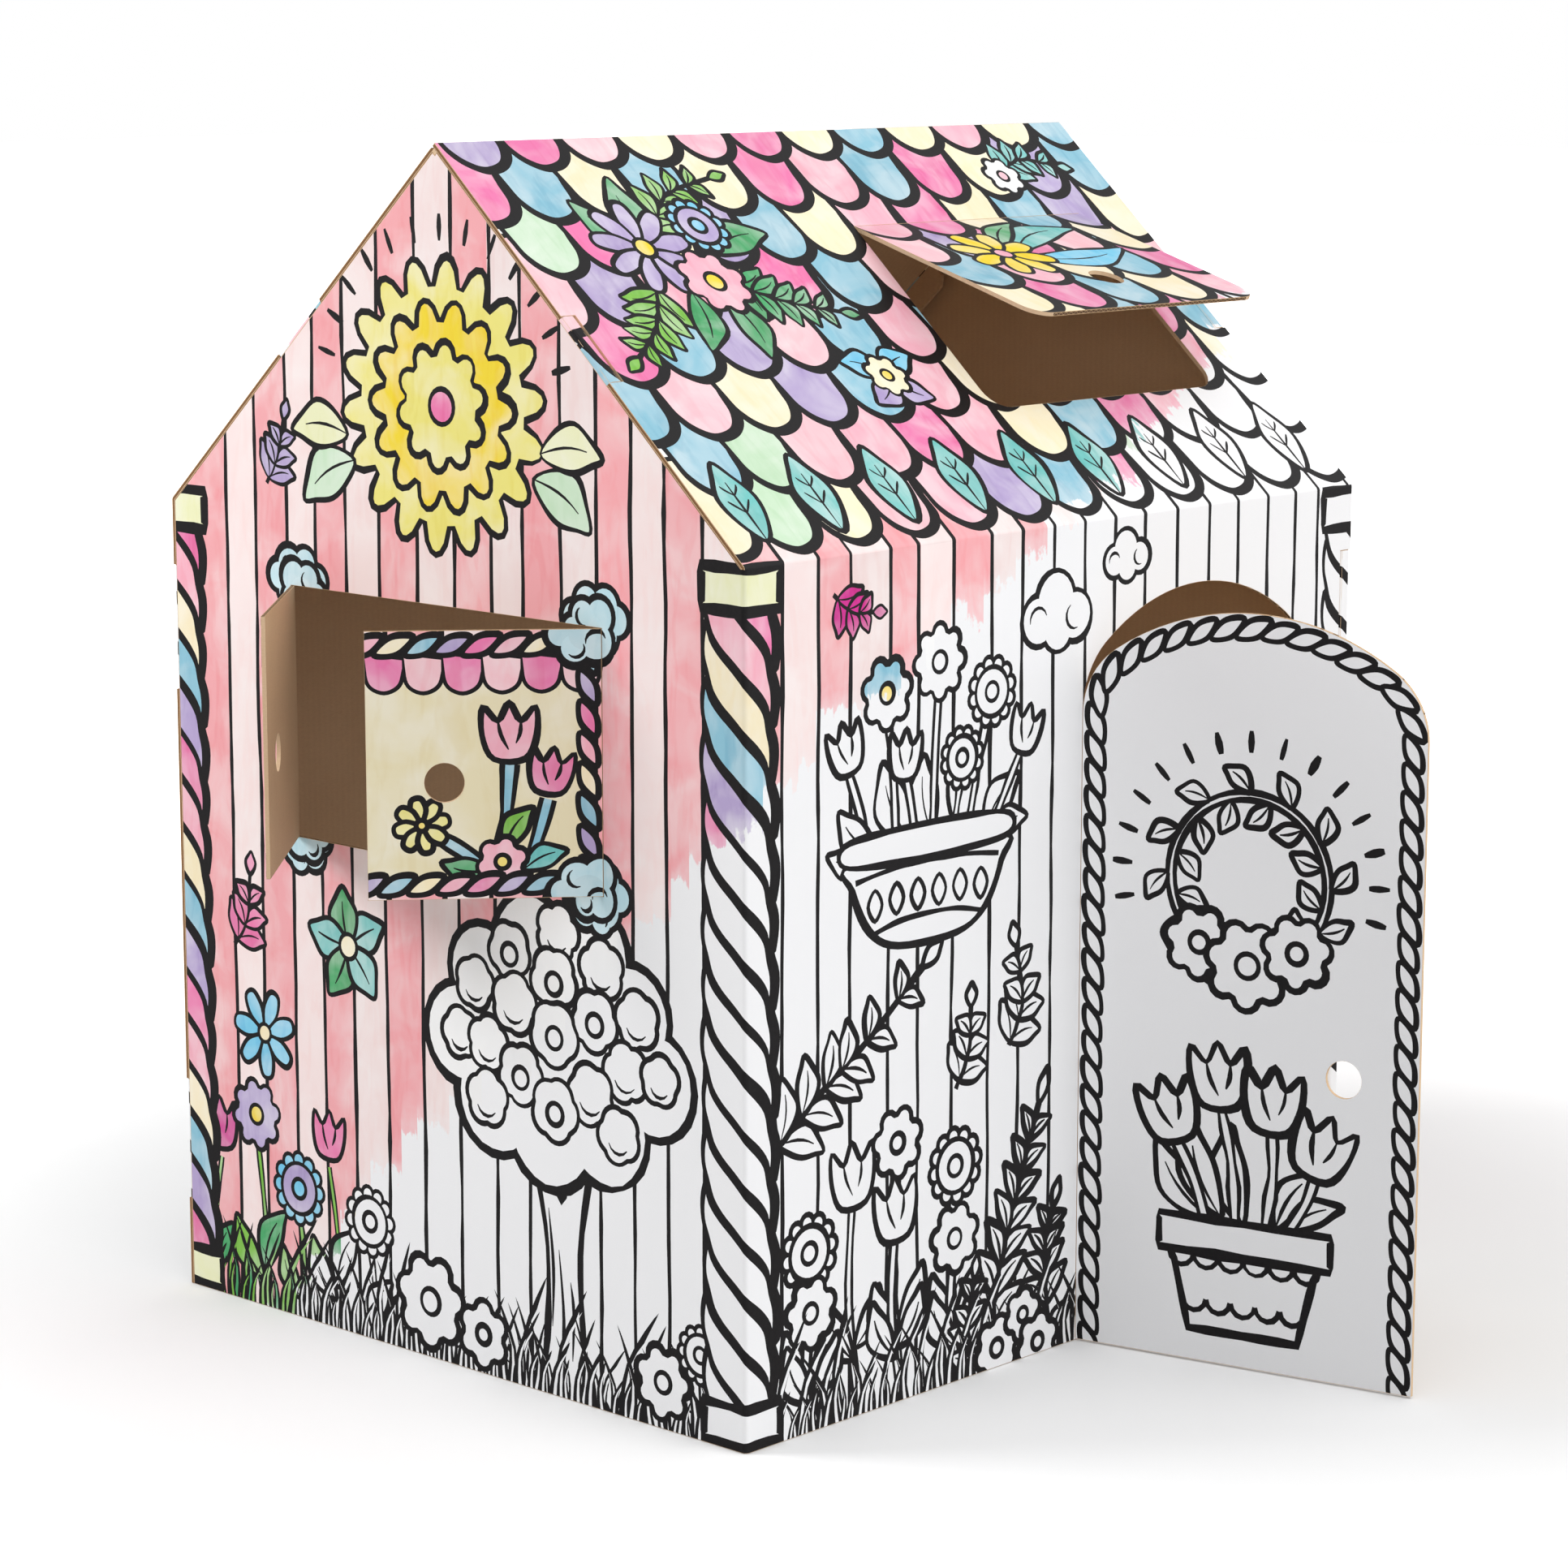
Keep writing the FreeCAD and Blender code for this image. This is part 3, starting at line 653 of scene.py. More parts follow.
def scales(seed, tall=126, rows=8):
    """Rows of scales up the slope, each lapping the one above, and no two neighbours alike."""
    rule, half = random.Random(seed), HALF_SCALE
    outer = [(-half - 2, tall), (-half - 2, 48), (-half + 4, 20), (-half + 20, 3), (0, -4), (half - 14, 3),
             (half + 4, 22), (half + 5, 50), (half + 5, tall)]
    inner = [(-half + 3, tall - 3), (-half + 3, 50), (-half + 9, 26), (-half + 22, 11), (-1, 5), (half - 18, 11),
             (half - 6, 28), (half - 3.5, 52), (half - 3.5, tall - 3)]
    scale = [rounded(outer), grown(rounded(inner), -2.2)]
    for k in range(rows):
        v, last = EAVE + 9 + SCALE_RISE * k, None
        for copy in stamped(scale, [(6 + half * (k % 2), v), (DEPTH + 60, v)], SCALE_PITCH, 0.045, 0.05, seed + k):
            last = rule.choice([c for c in SCALE_COLOURS if c != last])
            art.extend((("line", copy[0]), (last, copy[1])))


def columns(low=38):
    """Barley-twist columns at the sheet's three corners: bands stamped down, and a square cap and base."""
    band = [Vector((-p.y, p.x)) for p in rounded(BAND, 3)]  # drawn lying along the path that it is stamped on
    for middle, high in ((-820, 816), (-5, 803), (940, 800)):
        bands = stamped([grown(band, 6.0), grown(band, -3.8)], [(middle, high + 46), (middle, low + 4)],
                        BAND_PITCH, 0.03, 0.03, 5)
        for layer in (0, 1):
            for k, copy in enumerate(bands):
                shape = [Vector((p[0] - 3 * layer, min(max(p[1], low - 12), high + 20))) for p in copy[layer]]
                art.append((BAND_COLOURS[k % len(BAND_COLOURS)] if layer else "line", shape))
        outlined("lime", ruled(box(middle - 50, high, middle + 52, high + 40)), 11)
        outlined("lime", ruled(box(middle - 50, low - 34, middle + 52, low + 4)), 11)


def rope(path, inks, pitch, size, seed, line=3.4):
    """A twisted cord border: one slanting strand after another, each lapping the last."""
    strand = rounded([(-18, -7.5), (-7, -9.5), (6, -5.5), (18, 7.5), (7, 9.5), (-6, 5.5)], 6)
    layers = [[p * size for p in grown(strand, line)], [p * size + Vector((0.6, 0.6)) for p in grown(strand, -2.1)]]
    row(layers, path, pitch, 0.05, 0.04, seed, inks)


def awning(left, right, top, drop, inks):
    """A scalloped valance: one drop after another along a rail."""
    half = [(-20, 4), (-20, -drop * 0.55), (-14, -drop * 0.9)]
    outer = half + [(0, -drop - 2)] + [(-u, v) for u, v in half[::-1]]
    outer = [Vector(outer[0])] + rounded(outer, 4)[4:-4]
    row([outer, grown(outer, -4.2, 0.1)], [(left, top), (right, top)], 35.5, 0.02, 0.0, 2, inks)


def dashes(centre, near, far, start, end, count, line=6.5):
    """Short strokes raying out round a motif."""
    for k in range(count):
        angle = radians(start + (end - start) * k / (count - 1))
        a, b = [Vector(centre) + way(angle) * r for r in (near, far)]
        stroke([a, a.lerp(b, 0.2), a.lerp(b, 0.5), a.lerp(b, 0.8), b], line, 0.45)


# ----------------------------------------------------------------------
# Printing a board's face: the artwork is cut to the board's outline, each bit takes the topmost ink,
# and the film is folded with the board. It is a closed film, 0.15 mm thick.
SHY = 0.25  # the film stops this far short of a cut edge
EAVE_CREASES = [((-2, v), (DEPTH + 2, v)) for v in (WALL_TOP + 2 * EAVE_START * k / 5 for k in range(1, 6))]
CORNER_CREASES = [((u, -2), (u, WALL_TOP)) for u in (-5, -3, -1, 1, 3, 5)]
HOOK_CREASES = [1.7, 3.4, BEND, HOOK_TURN, HOOK_TURN + 1.7, HOOK_TURN + 3.4]
WALL_HOOKS, SLOPE_HOOKS = ((160, 130), (710, 130)), ((EAVE + 278, 86),)  # middle and length of each


def inside(points, places):
    """Which places lie inside an outline that runs anticlockwise round them."""
    start, end = points[:, None, :], np.roll(points, -1, 0)[:, None, :]
    u, v = places[None, :, 0], places[None, :, 1]
    left = (end[..., 0] - start[..., 0]) * (v - start[..., 1]) - (u - start[..., 0]) * (end[..., 1] - start[..., 1])
    up = (start[..., 1] <= v) & (end[..., 1] > v) & (left > 0)
    down = (start[..., 1] > v) & (end[..., 1] <= v) & (left < 0)
    return up.sum(0) - down.sum(0) > 0


def topmost(outline, voids, creases):
    """Cuts the artwork to a board's outline: triangles of the flat sheet, each with its topmost ink."""
    corners, lines, shapes = [], [], []
    low, high = [[pick(p[i] for p in outline) for i in (0, 1)] for pick in (min, max)]
    for ink, points in [("board", outline), *(("void", void) for void in voids), *art]:
        points = [Vector(p) for p in points]
        if area(points) < 0:
            points.reverse()
        first, last = [[pick(p[i] for p in points) for i in (0, 1)] for pick in (min, max)]
        if area(points) < 0.3 or not all(first[i] < high[i] and last[i] > low[i] for i in (0, 1)):
            continue
        lines.extend((len(corners) + k, len(corners) + (k + 1) % len(points)) for k in range(len(points)))
        corners.extend(points)
        shapes.append((ink, np.array([tuple(p) for p in points])))
    for a, b in creases:
        lines.append((len(corners), len(corners) + 1))
        corners.extend([Vector(a), Vector(b)])
    cut = delaunay_2d_cdt(corners, lines, [], 0, 0.02)
    places, triangles = np.array([tuple(p) for p in cut[0]]), np.array(cut[2])
    middles = places[triangles].mean(1)
    order = np.argsort(middles[:, 0])
    triangles, middles = triangles[order], middles[order]
    top = np.full(len(triangles), -1)
    for k, (ink, points) in enumerate(shapes):
        first, last = np.searchsorted(middles[:, 0], (points[:, 0].min(), points[:, 0].max()))
        height = middles[first:last, 1]
        near = first + np.nonzero((height > points[:, 1].min()) & (height < points[:, 1].max()))[0]
        hit = near[inside(points, middles[near])] if len(near) else near
        hit = hit[top[hit] >= 0] if k else hit
        top[hit] = -2 if ink == "void" else k
    found = []
    for triangle, k in zip(triangles.tolist(), top.tolist()):
        if k >= 0:
            a, b, c = (places[i] for i in triangle)
            if (b[0] - a[0]) * (c[1] - a[1]) < (b[1] - a[1]) * (c[0] - a[0]):
                triangle.reverse()
            found.append((triangle, shapes[k][0] if k else "white", k))
    return cut[0], found


def film(name, patches, body):
    """One piece of print from one or more patches of the drawing: (outline, voids, creases, fold)."""
    rule, tint = random.Random(len(art)), {}
    corners, faces, flats, looks = [], [], [], []
    for outline, voids, creases, fold in patches:
        places, found = topmost(outline, voids, creases)
        used = sorted({i for triangle, _, _ in found for i in triangle})
        number = {old: new + len(corners) for new, old in enumerate(used)}
        for lift in (INK_FRONT, INK_BACK):
            corners.extend(fold(*places[i], lift) / 1000 for i in used)
            flats.extend((places[i][0] / 1000, places[i][1] / 1000) for i in used)
        edges = {}
        for triangle, ink, top in found:
            front = [number[i] for i in triangle]
            if top not in tint:
                tint[top] = 1 + rule.uniform(-0.05, 0.04)
            look = int(ink == "line"), tuple(min(1.0, c * tint[top]) for c in SWATCHES[ink][:3]) + (1.0,)
            faces.extend((front, [i + len(used) for i in reversed(front)]))
            looks.extend((look, look))
            edges.update((edge, look) for edge in zip(front, front[1:] + front[:1]))
        for (a, b), look in edges.items():
            if (b, a) not in edges:
                faces.append([b, a, a + len(used), b + len(used)])
                looks.append(look)
    mesh = new_mesh(name, corners, faces=faces)
    mesh.materials.append(wash_ink)
    mesh.materials.append(key_ink)
    mesh.polygons.foreach_set("material_index", [kind for kind, _ in looks])
    mesh.uv_layers.new(name="flat_sheet")
    mesh.color_attributes.new("pigment", "FLOAT_COLOR", "CORNER")
    uv = [part for face in mesh.polygons for corner in face.vertices for part in flats[corner]]
    paint = [part for face in mesh.polygons for _ in face.vertices for part in looks[face.index][1]]
    mesh.uv_layers["flat_sheet"].data.foreach_set("uv", uv)
    mesh.color_attributes["pigment"].data.foreach_set("color", paint)
    mesh.validate()
    fixed(placed(name, mesh), body)


def fixed(piece, body):
    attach(piece, body)


def notched(edge, inward, spots, going_up):
    """The corners of a board's notches along an upright edge."""
    corners, near, deep = [], edge + inward * SHY, edge + inward * (HOOK_REACH + 0.5 + SHY)
    for middle, length in spots:
        low, high = middle - length / 2 - 0.5 - SHY, middle + length / 2 + 0.5 + SHY
        corners += [(near, low), (deep, low), (deep, high), (near, high)]
    return corners if going_up else corners[::-1]


def hook_patches():
    """The strips of print on the four hooks that lie in this sheet's wall and slope."""
    patches = []
    for edge, inward, spots in ((DEPTH, -1, WALL_HOOKS), (DEPTH, -1, SLOPE_HOOKS), (0, 1, SLOPE_HOOKS)):
        for middle, length in spots:
            ends = sorted((edge + inward * 0.2, edge + inward * (HOOK_REACH - 0.1)))
            low, high = middle - length / 2 + SHY, middle + length / 2 - SHY
            creases = [((edge + inward * c, low - 2), (edge + inward * c, high + 2)) for c in HOOK_CREASES]
            patches.append((box(ends[0], low, ends[1], high), [], creases, hooked(edge, inward)))
    return patches


# ----------------------------------------------------------------------
# The front sheet's artwork: boarded walls with twisted corner columns, a scaled roof, a garden along the
# foot, and a border round each opening. It is drawn flat across walls, roof and flaps, in one go.
WINDOW = (-634, 512, -186, 771)
WINDOW_MIDDLE = -410
DOOR = (490, 862, 652, 114)  # hinge, free edge, where the arch begins, its rise
HATCH = (486, 155 + EAVE, 850, 415 + EAVE)
GABLE, WALL = (-782, 0, 1216), (0, 960, EAVE + 70)  # the boarding's left, right and top


def door_arch(inset, floor=-1.0, shoulder=82):
    """The doorway's outline, or the door's, inset from it; clockwise from the foot of the hinge."""
    hinge, free, spring, rise = DOOR
    run, climb, middle = (free - hinge) / 2 - shoulder, rise - shoulder, (hinge + free) / 2
    drop = (run ** 2 - climb ** 2) / (2 * climb)
    meet = degrees(atan2(drop, run))
    return [(hinge + inset, floor), *arc((hinge + shoulder, spring), shoulder - inset, 180, 180 - meet, 8),
            *arc((middle, spring - drop), drop + climb + shoulder - inset, 180 - meet, meet, 18)[1:-1],
            *arc((free - shoulder, spring), shoulder - inset, meet, 0, 8), (free - inset, floor)]


planks(*GABLE, ["salmon", "pale"], 4)
art.append(("salmon", box(-822, -5, -782, 900)))
planks(*WALL, ["salmon", "pale"], 9)

# Gable: a rosette in the peak, and sprigs and a bloom beside the window
for size, petals, ink, turn in ((146, 18, "yellow", 0.1), (104, 14, "gold", 0.0), (64, 10, "yellow", 0.2)):
    daisy((-405, 966), size, petals, ink, "hot", turn, 7)
for side in (-1, 1):
    leaf((-405 + side * 128, 905), (-405 + side * 205, 860), 0.30, "mint", 0.1 * side, 5.5)
    leaf((-405 + side * 138, 930), (-405 + side * 222, 930), 0.28, "lime", 0.1 * side, 5.5)
dashes((-405, 966), 160, 186, 15, 165, 13)
sprig([(-668, 872), (-652, 898), (-640, 938)], 3, 40, "lavender", 4, 0.30)
sprig([(-735, 384), (-715, 414), (-708, 462)], 3, 44, "hot", 4.5, 0.32)
leaves([((-556, 408), (-556 + 62 * cos(angle), 408 + 62 * sin(angle)), ink)
        for angle, ink in ((0.5, "teal"), (1.7, "fern"), (2.9, "teal"), (4.2, "fern"), (5.4, "teal"))], 0.34, 0.05, 5.5)
outlined("cream", oval((-556, 408), 13), 5)
ray_flower((-690, 296), 48, 7, "sky", "cream", 0.3, 0.22, 5)

# Gable: the garden at the left
stalks(([(-772, 0), (-778, 70), (-764, 150)], [(-700, 0), (-694, 80), (-706, 190)],
        [(-640, 0), (-634, 60), (-640, 110)], [(-585, 0), (-580, 90), (-592, 170)],
        [(-530, 0), (-524, 50), (-530, 96)]), 5, "leaf")
leaves((((-772, 40), (-800, 112), "leaf"), ((-700, 30), (-742, 92), "leaf"), ((-698, 40), (-662, 108), "fern"),
        ((-640, 20), (-668, 72), "leaf"), ((-585, 30), (-620, 92), "leaf"), ((-583, 44), (-548, 110), "fern"),
        ((-530, 12), (-498, 66), "leaf"), ((-774, 22), (-748, 80), "fern")), 0.24, 0.12, 5.5)
tulip((-764, 178), 50, "magenta", 0.06)
daisy((-706, 206), 38, 8, "lavender", "gold", 0.2)
beaded_flower((-640, 138), 40, "lavender", "sky")
tulip((-592, 196), 46, "hot", -0.05)
beaded_flower((-530, 124), 38, "cream", "white", 0.1)

# Gable: a round-headed tree at the right, over white blooms and grass
outlined("white", rounded([(-296, -6), (-272, 40), (-268, 150), (-286, 250), (-262, 262), (-248, 200), (-232, 262),
                           (-206, 256), (-222, 150), (-214, 40), (-186, -6)]), 8)
for path in ([(-250, 20), (-246, 80), (-252, 150)], [(-234, 40), (-232, 90), (-236, 120)],
             [(-262, 70), (-260, 130), (-266, 190)]):
    stroke(rounded(path, 5, False), 4.5, 0.8)
puffs([(-338, 288, 58), (-262, 268, 60), (-186, 282, 58), (-388, 346, 52), (-120, 338, 54), (-312, 366, 66),
       (-222, 372, 70), (-150, 400, 52), (-356, 414, 48), (-286, 446, 56), (-206, 452, 54)], "white", 9, False)
for k, (u, v, size) in enumerate((
        (-250, 468, 30), (-318, 440, 30), (-190, 440, 31), (-368, 400, 28), (-256, 420, 33), (-142, 398, 30),
        (-312, 388, 32), (-200, 388, 32), (-390, 346, 27), (-350, 342, 29), (-256, 366, 34), (-158, 344, 31),
        (-112, 344, 26), (-304, 318, 32), (-206, 314, 32), (-352, 286, 30), (-256, 290, 33), (-168, 280, 29))):
    outlined("white", [Vector((u, v)) + way(a) * size * (0.84 + 0.16 * abs(cos(2.5 * a + k)) ** 0.6)
                       for a in (tau * i / 40 for i in range(40))], 5.5)
    if k % 3 == 1:
        outlined("white", oval((u, v - 4), 11), 5.5)
    else:
        stroke(arc((u, v - 4), size * 0.5, 200, 320, 5), 4, 0.7)
for u, v, size in ((-440, 58, 50), (-362, 40, 36), (-110, 46, 40), (-60, 84, 30)):
    for side in (-1, 1):
        leaf((u, v - size * 0.4), (u + side * size * 1.5, v - size * 0.9), 0.24, "white", 0.12 * side, 7)
stalks([[(u, 0), (u + 3, v / 2), (u, v)] for u, v in ((-110, 46), (-60, 84), (-362, 40))], 4, "white")
grass(-815, -300, 31, ("leaf", "fern"))
grass(-310, -45, 41)
for *at, size, petals, turn, line in ((-440, 58, 50, 7, 0.2, 8), (-362, 40, 36, 6, 0.5, 7),
                                      (-110, 46, 38, 7, 0.1, 7.5)):
    daisy(at, size, petals, "white", "white", turn, line)
beaded_flower((-60, 84), 30, "white", "white")

# Puffs of cloud at the window's corners
for *at, flip in ((-628, 774, 1), (-190, 774, -1), (-628, 510, 1), (-190, 508, -1)):
    puffs([(-6, -8, 21), (-24, 6, 17), (-8, 18, 20), (16, 20, 18), (34, 4, 17), (22, -14, 18), (0, -20, 16),
           (8, 4, 22)], "cloud", 6.5, True, at, flip)

# Wall: a bowl of flowers on a ledge
stalks([[(170, 545), (160, 590), (140, 640)]], 7, "white", 6)
leaves((((180, 555), (128, 600)), ((230, 560), (190, 640)), ((300, 560), (330, 640)), ((340, 552), (392, 604)),
        ((262, 560), (250, 640)), ((350, 548), (405, 560)), ((165, 548), (112, 560))), 0.26, 0.1, 5.5)
stalks(([(210, 545), (206, 620), (196, 690)], [(262, 545), (266, 640), (272, 716)],
        [(312, 545), (330, 620), (346, 676)], [(240, 545), (232, 590), (222, 630)],
        [(290, 545), (300, 590), (306, 622)], [(345, 545), (372, 590), (398, 632)]), 7, "white", 6)
daisy((196, 706), 36, 7, "blue", "gold", 0.2, 6)
daisy((272, 728), 38, 8, "white", "white", 0.0, 6)
beaded_flower((350, 690), 36, "white", "white", 0.2, 5)
tulip((140, 652), 46, "white", 0.25, 6)
tulip((222, 636), 44, "white", -0.08, 6)
beaded_flower((306, 630), 32, "white", "white", 0.2, 5)
tulip((400, 640), 44, "white", -0.3, 6)
for line, *rim in ((8, (150, 548), (148, 520), (172, 478), (214, 458), (300, 458), (342, 478), (366, 520), (364, 548)),
                   (7, (136, 546), (136, 566), (200, 572), (314, 572), (378, 566), (378, 546), (314, 540), (200, 540))):
    outlined("white", rounded(rim), line)
for k in range(6):
    bead = set_at(rounded([(0, 15), (10, 0), (0, -15), (-10, 0)], 4), (180 + 31 * k, 505 - 3 * (k in (0, 5))))
    outlined("white", bead, 4.5)
for path in ([(152, 528), (200, 534), (257, 536), (314, 534), (362, 528)],
             [(176, 474), (214, 482), (257, 484), (300, 482), (338, 474)]):
    stroke(rounded(path, 5, False), 5)

# Wall: leafy branches, clouds, and the garden with its undergrowth
sprig([(40, 288), (100, 330), (170, 372), (250, 432)], 6, 64, "white", 6, 0.26)
sprig([(120, 808), (146, 790), (176, 786)], 3, 36, "magenta", 4, 0.32)
puffs([(420, 752, 26), (446, 770, 30), (476, 752, 26), (450, 742, 24)], "white", 6.5)
puffs([(538, 800, 17), (556, 812, 20), (578, 802, 17), (558, 793, 16)], "white", 5)
sprig([(300, 300), (318, 336), (322, 380)], 3, 42, "white", 5, 0.34)
sprig([(380, 330), (400, 372), (390, 430)], 4, 46, "white", 5, 0.32)
beaded, cupped = (beaded_flower, 40, "white", "white", 0.1, 6), (tulip, 58, "white", 0.05, 6.5)
lobed = (daisy, 36, 7, "white", "white", 0.3, 6.5)
for u, v, (flower, *how) in ((88, 178, beaded), (150, 232, cupped), (214, 262, lobed), (212, 186, cupped),
                             (300, 222, beaded), (300, 148, lobed), (90, 118, lobed)):
    stalks([[(u + 10, -4), (u - 6, v * 0.5), (u, v)]], 8, "white", 7)
    leaf((u, v * 0.25), (u - 34, v * 0.25 + 62), 0.24, "white", 0.12, 6.5)
    leaf((u + 4, v * 0.30), (u + 38, v * 0.30 + 56), 0.24, "white", -0.12, 6.5)
    flower((u, v), *how)
sprig([(352, -4), (366, 90), (396, 180), (428, 262)], 8, 68, "white", 7, 0.21, 0.7)
sprig([(452, -4), (442, 60), (440, 110), (452, 150)], 5, 54, "white", 6.5, 0.22, 0.8)
sprig([(330, -4), (322, 50), (330, 100)], 4, 46, "white", 6, 0.24, 0.8)
leaves([((u, v), (u - 78, v - 26)) for u, v in ((366, 20), (406, 46), (430, 12))], 0.22, 0.1, 6.5)
grass(45, 490, 51)
grass(862, 925, 57)
for at, size in (((366, 20), 34), ((406, 46), 28), ((430, 12), 32)):
    daisy(at, size, 6, "white", "white", 0.3, 7)

columns()

# Door: roped all round, with a leafy wreath, and a pot of tulips below
art.append(("white", door_arch(0)))
for size in (89, 81):
    outlined("white", oval((676, 500), size, 48), 6)
for k in range(24):
    angle, side = tau * k / 24, (1, -1)[k % 2]
    ends = ((85 + 4 * side, angle), (85 + 30 * side, angle + 0.30 - 0.05 * side))
    leaf(*[(676 + r * cos(a), 500 + r * sin(a)) for r, a in ends], 0.30, "white", -0.10 * side, 5.5)
for angle, size in ((232, 38), (270, 46), (308, 38)):
    daisy((676 + 86 * cos(radians(angle)), 500 + 86 * sin(radians(angle))), size, 7, "white", "white", 0.2, 7)
dashes((676, 500), 128, 150, -12, 192, 15, 7.5)
leaves((((640, 150), (580, 226)), ((676, 150), (662, 250)), ((712, 150), (756, 214)), ((652, 154), (618, 250)),
        ((724, 150), (784, 182))), 0.20, 0.1, 7)
for foot, u, v, turn in ((636, 596, 236, 0.3), (668, 648, 276, 0.06), (700, 706, 258, -0.06), (724, 756, 218, -0.35)):
    stalks([[(foot, 146), ((foot + u) / 2 + 5, (146 + v) / 2), (u, v)]], 8, "white", 6)
    tulip((u, v + 12), 60, "white", turn, 8)
outlined("white", ruled([(618, 34), (738, 34), (758, 118), (598, 118)]), 9)
outlined("white", ruled(box(584, 114, 772, 150)), 9)
for start, pitch, v, size, count in ((609.0, 27.5, 112, 13.5, 6), (624.0, 27, 66, 13, 5)):
    for k in range(count):
        stroke(arc((start + pitch * k, v), size, 180, 360, 6), 5)
rope(door_arch(16, 0.0), ["white"], 27.5, 1.0, 71)

# Window: roped at the top, the hinges and the foot, a valance, and tulips and a daisy on each shutter
left, low, right, high = WINDOW
art.append(("sand", box(left + 14, low + 14, right - 14, high - 15)))
awning(left + 20, right - 20, high - 24, 36, ["hot", "rose"])
for side in (-1, 1):
    def beside(across, up):
        return WINDOW_MIDDLE + side * (128 + across), low + up
    stalks([[beside(*p) for p in path] for path in (
        ((-14, 26), (-34, 44), (-62, 62)), ((0, 26), (4, 76), (8, 130)), ((22, 26), (34, 60), (44, 96)))],
        10, "blue", 7)
    leaves([(beside(*base), beside(*tip), ink) for base, tip, ink in (
        ((-10, 28), (-58, 36), "fern"), ((20, 28), (62, 46), "teal"), ((2, 48), (30, 88), "leaf"))], 0.26, 0.1, 5)
    tulip(beside(46, 116), 40, "hot", -0.15 * side, 6)
    tulip(beside(8, 152), 50, "pink", 0.0, 6)
    ray_flower(beside(-76, 72), 27, 8, "yellow", "gold", 0.2, 0.26, 5)
    daisy(beside(0, 36), 25, 6, "pink", "gold", 0.3, 5.5)
cord = ["blue", "lavender", "hot", "pink", "cream"]
rope([(left + 4, high - 15), (right - 4, high - 15)], cord, 27, 0.95, 81, 4.2)
rope([(left + 4, low + 14), (right - 4, low + 14)], cord[::-1], 27, 0.95, 83, 4.2)
for edge in (left + 14, right - 14):
    rope([(edge, high - 26), (edge, low + 24)], cord, 27, 0.9, 85, 4.4)
for *at, flip in ((-622, 764, 1), (-197, 766, -1), (-622, 518, 1), (-197, 517, -1)):
    puffs([(-6, -8, 21), (-8, 16, 19), (14, 14, 18), (28, 0, 15), (14, -14, 17), (4, 0, 20)],
          "cloud", 6.5, True, at, flip)

# Roof: rows of scales, drops along the eave, and posies
scales(101)
for k in range(9):
    u = 52 + 104.0 * k
    leaf((u, EAVE + 26), (u, EAVE + 126), 0.25, "teal", 0.0, 6)
    for side in (-1, 1):
        stroke([(u, EAVE + 52 + 20 * i) for i in (0, 1)], 2.0)
        for vein in (((0, 62), (9, 72), (14, 78)), ((0, 84), (8, 92), (11, 97))):
            stroke(rounded([(u + side * across, EAVE + up) for across, up in vein], 3, False), 2.8, 0.5)
for size, ink, *path in ((52, "fern", (250, 350), (306, 320), (372, 300)),
                         (54, "leaf", (150, 350), (112, 300), (60, 262)),
                         (50, "leaf", (200, 420), (250, 470), (330, 492))):
    sprig([(u, EAVE + v) for u, v in path], 5, size, ink, 4.5, 0.26)
leaves((((180, 400), (116, 470), "fern"), ((200, 400), (190, 500), "fern"), ((230, 330), (232, 246), "fern"),
        ((190, 340), (160, 262), "fern"), ((260, 390), (352, 412), "fern")), 0.24, 0.1, 5, EAVE)
ray_flower((172, EAVE + 402), 64, 9, "lavender", "gold", 0.1, 0.19, 5)
daisy((232, EAVE + 352), 44, 8, "pink", "gold", 0.2, 6)
beaded_flower((266, EAVE + 428), 38, "lavender", "sky", 0.1, 5)
for side in (-1, 1):
    leaf((370, EAVE + 214), (370 + side * 52, EAVE + 236), 0.34, "sky", 0.1 * side, 5)
    leaf((370, EAVE + 208), (370 + side * 42, EAVE + 176), 0.34, "lavender", -0.1 * side, 5)
daisy((370, EAVE + 212), 28, 7, "cream", "gold", 0.0, 5)
sprig([(780, EAVE + 480), (822, EAVE + 500), (876, EAVE + 488)], 4, 44, "teal", 4.5, 0.30)
daisy((776, EAVE + 476), 28, 7, "white", "pink", 0.2, 5)

# Hatch: one big bloom with trailing leaves
for base, tip, ink, bow in (((640, 318), (790, 372), "teal", 0.12), ((636, 300), (800, 310), "sky", -0.10),
                            ((630, 330), (716, 398), "fern", 0.1)):
    leaves([(base, tip, ink)], 0.15, bow, 5, EAVE)
ray_flower((612, EAVE + 316), 62, 8, "gold", "pink", 0.35, 0.22, 5)


# ----------------------------------------------------------------------
# The front sheet's print: gable, door wall, hatch slope, and the strips on the hooks that lap them. Each
# film is cut back a hair from the board's own edges, openings and notches.
def gable_outline(*peak):
    return [(-815 + SHY, SHY), (0, SHY), (0, WALL_TOP), (-5 - SHY, WALL_TOP), *peak, (-815 + SHY, WALL_TOP - SHY)]


def slope_outline(top):
    foot = WALL_TOP + 0.01
    return [(SHY, foot), (DEPTH - SHY, foot), *notched(DEPTH, -1, SLOPE_HOOKS, True), (DEPTH - SHY, top),
            (SHY, top), *notched(0, 1, SLOPE_HOOKS, False)]


def hatch_outline(inset, corner=26):
    """The hatch's outline, or the hole's if the inset is negative: two square corners and two round ones."""
    left, low, right, high = HATCH
    return [(left + inset, high - inset), *arc((left + corner, low + corner), corner - inset, 180, 270, 6),
            *arc((right - corner, low + corner), corner - inset, 270, 360, 6), (right - inset, high - inset)]


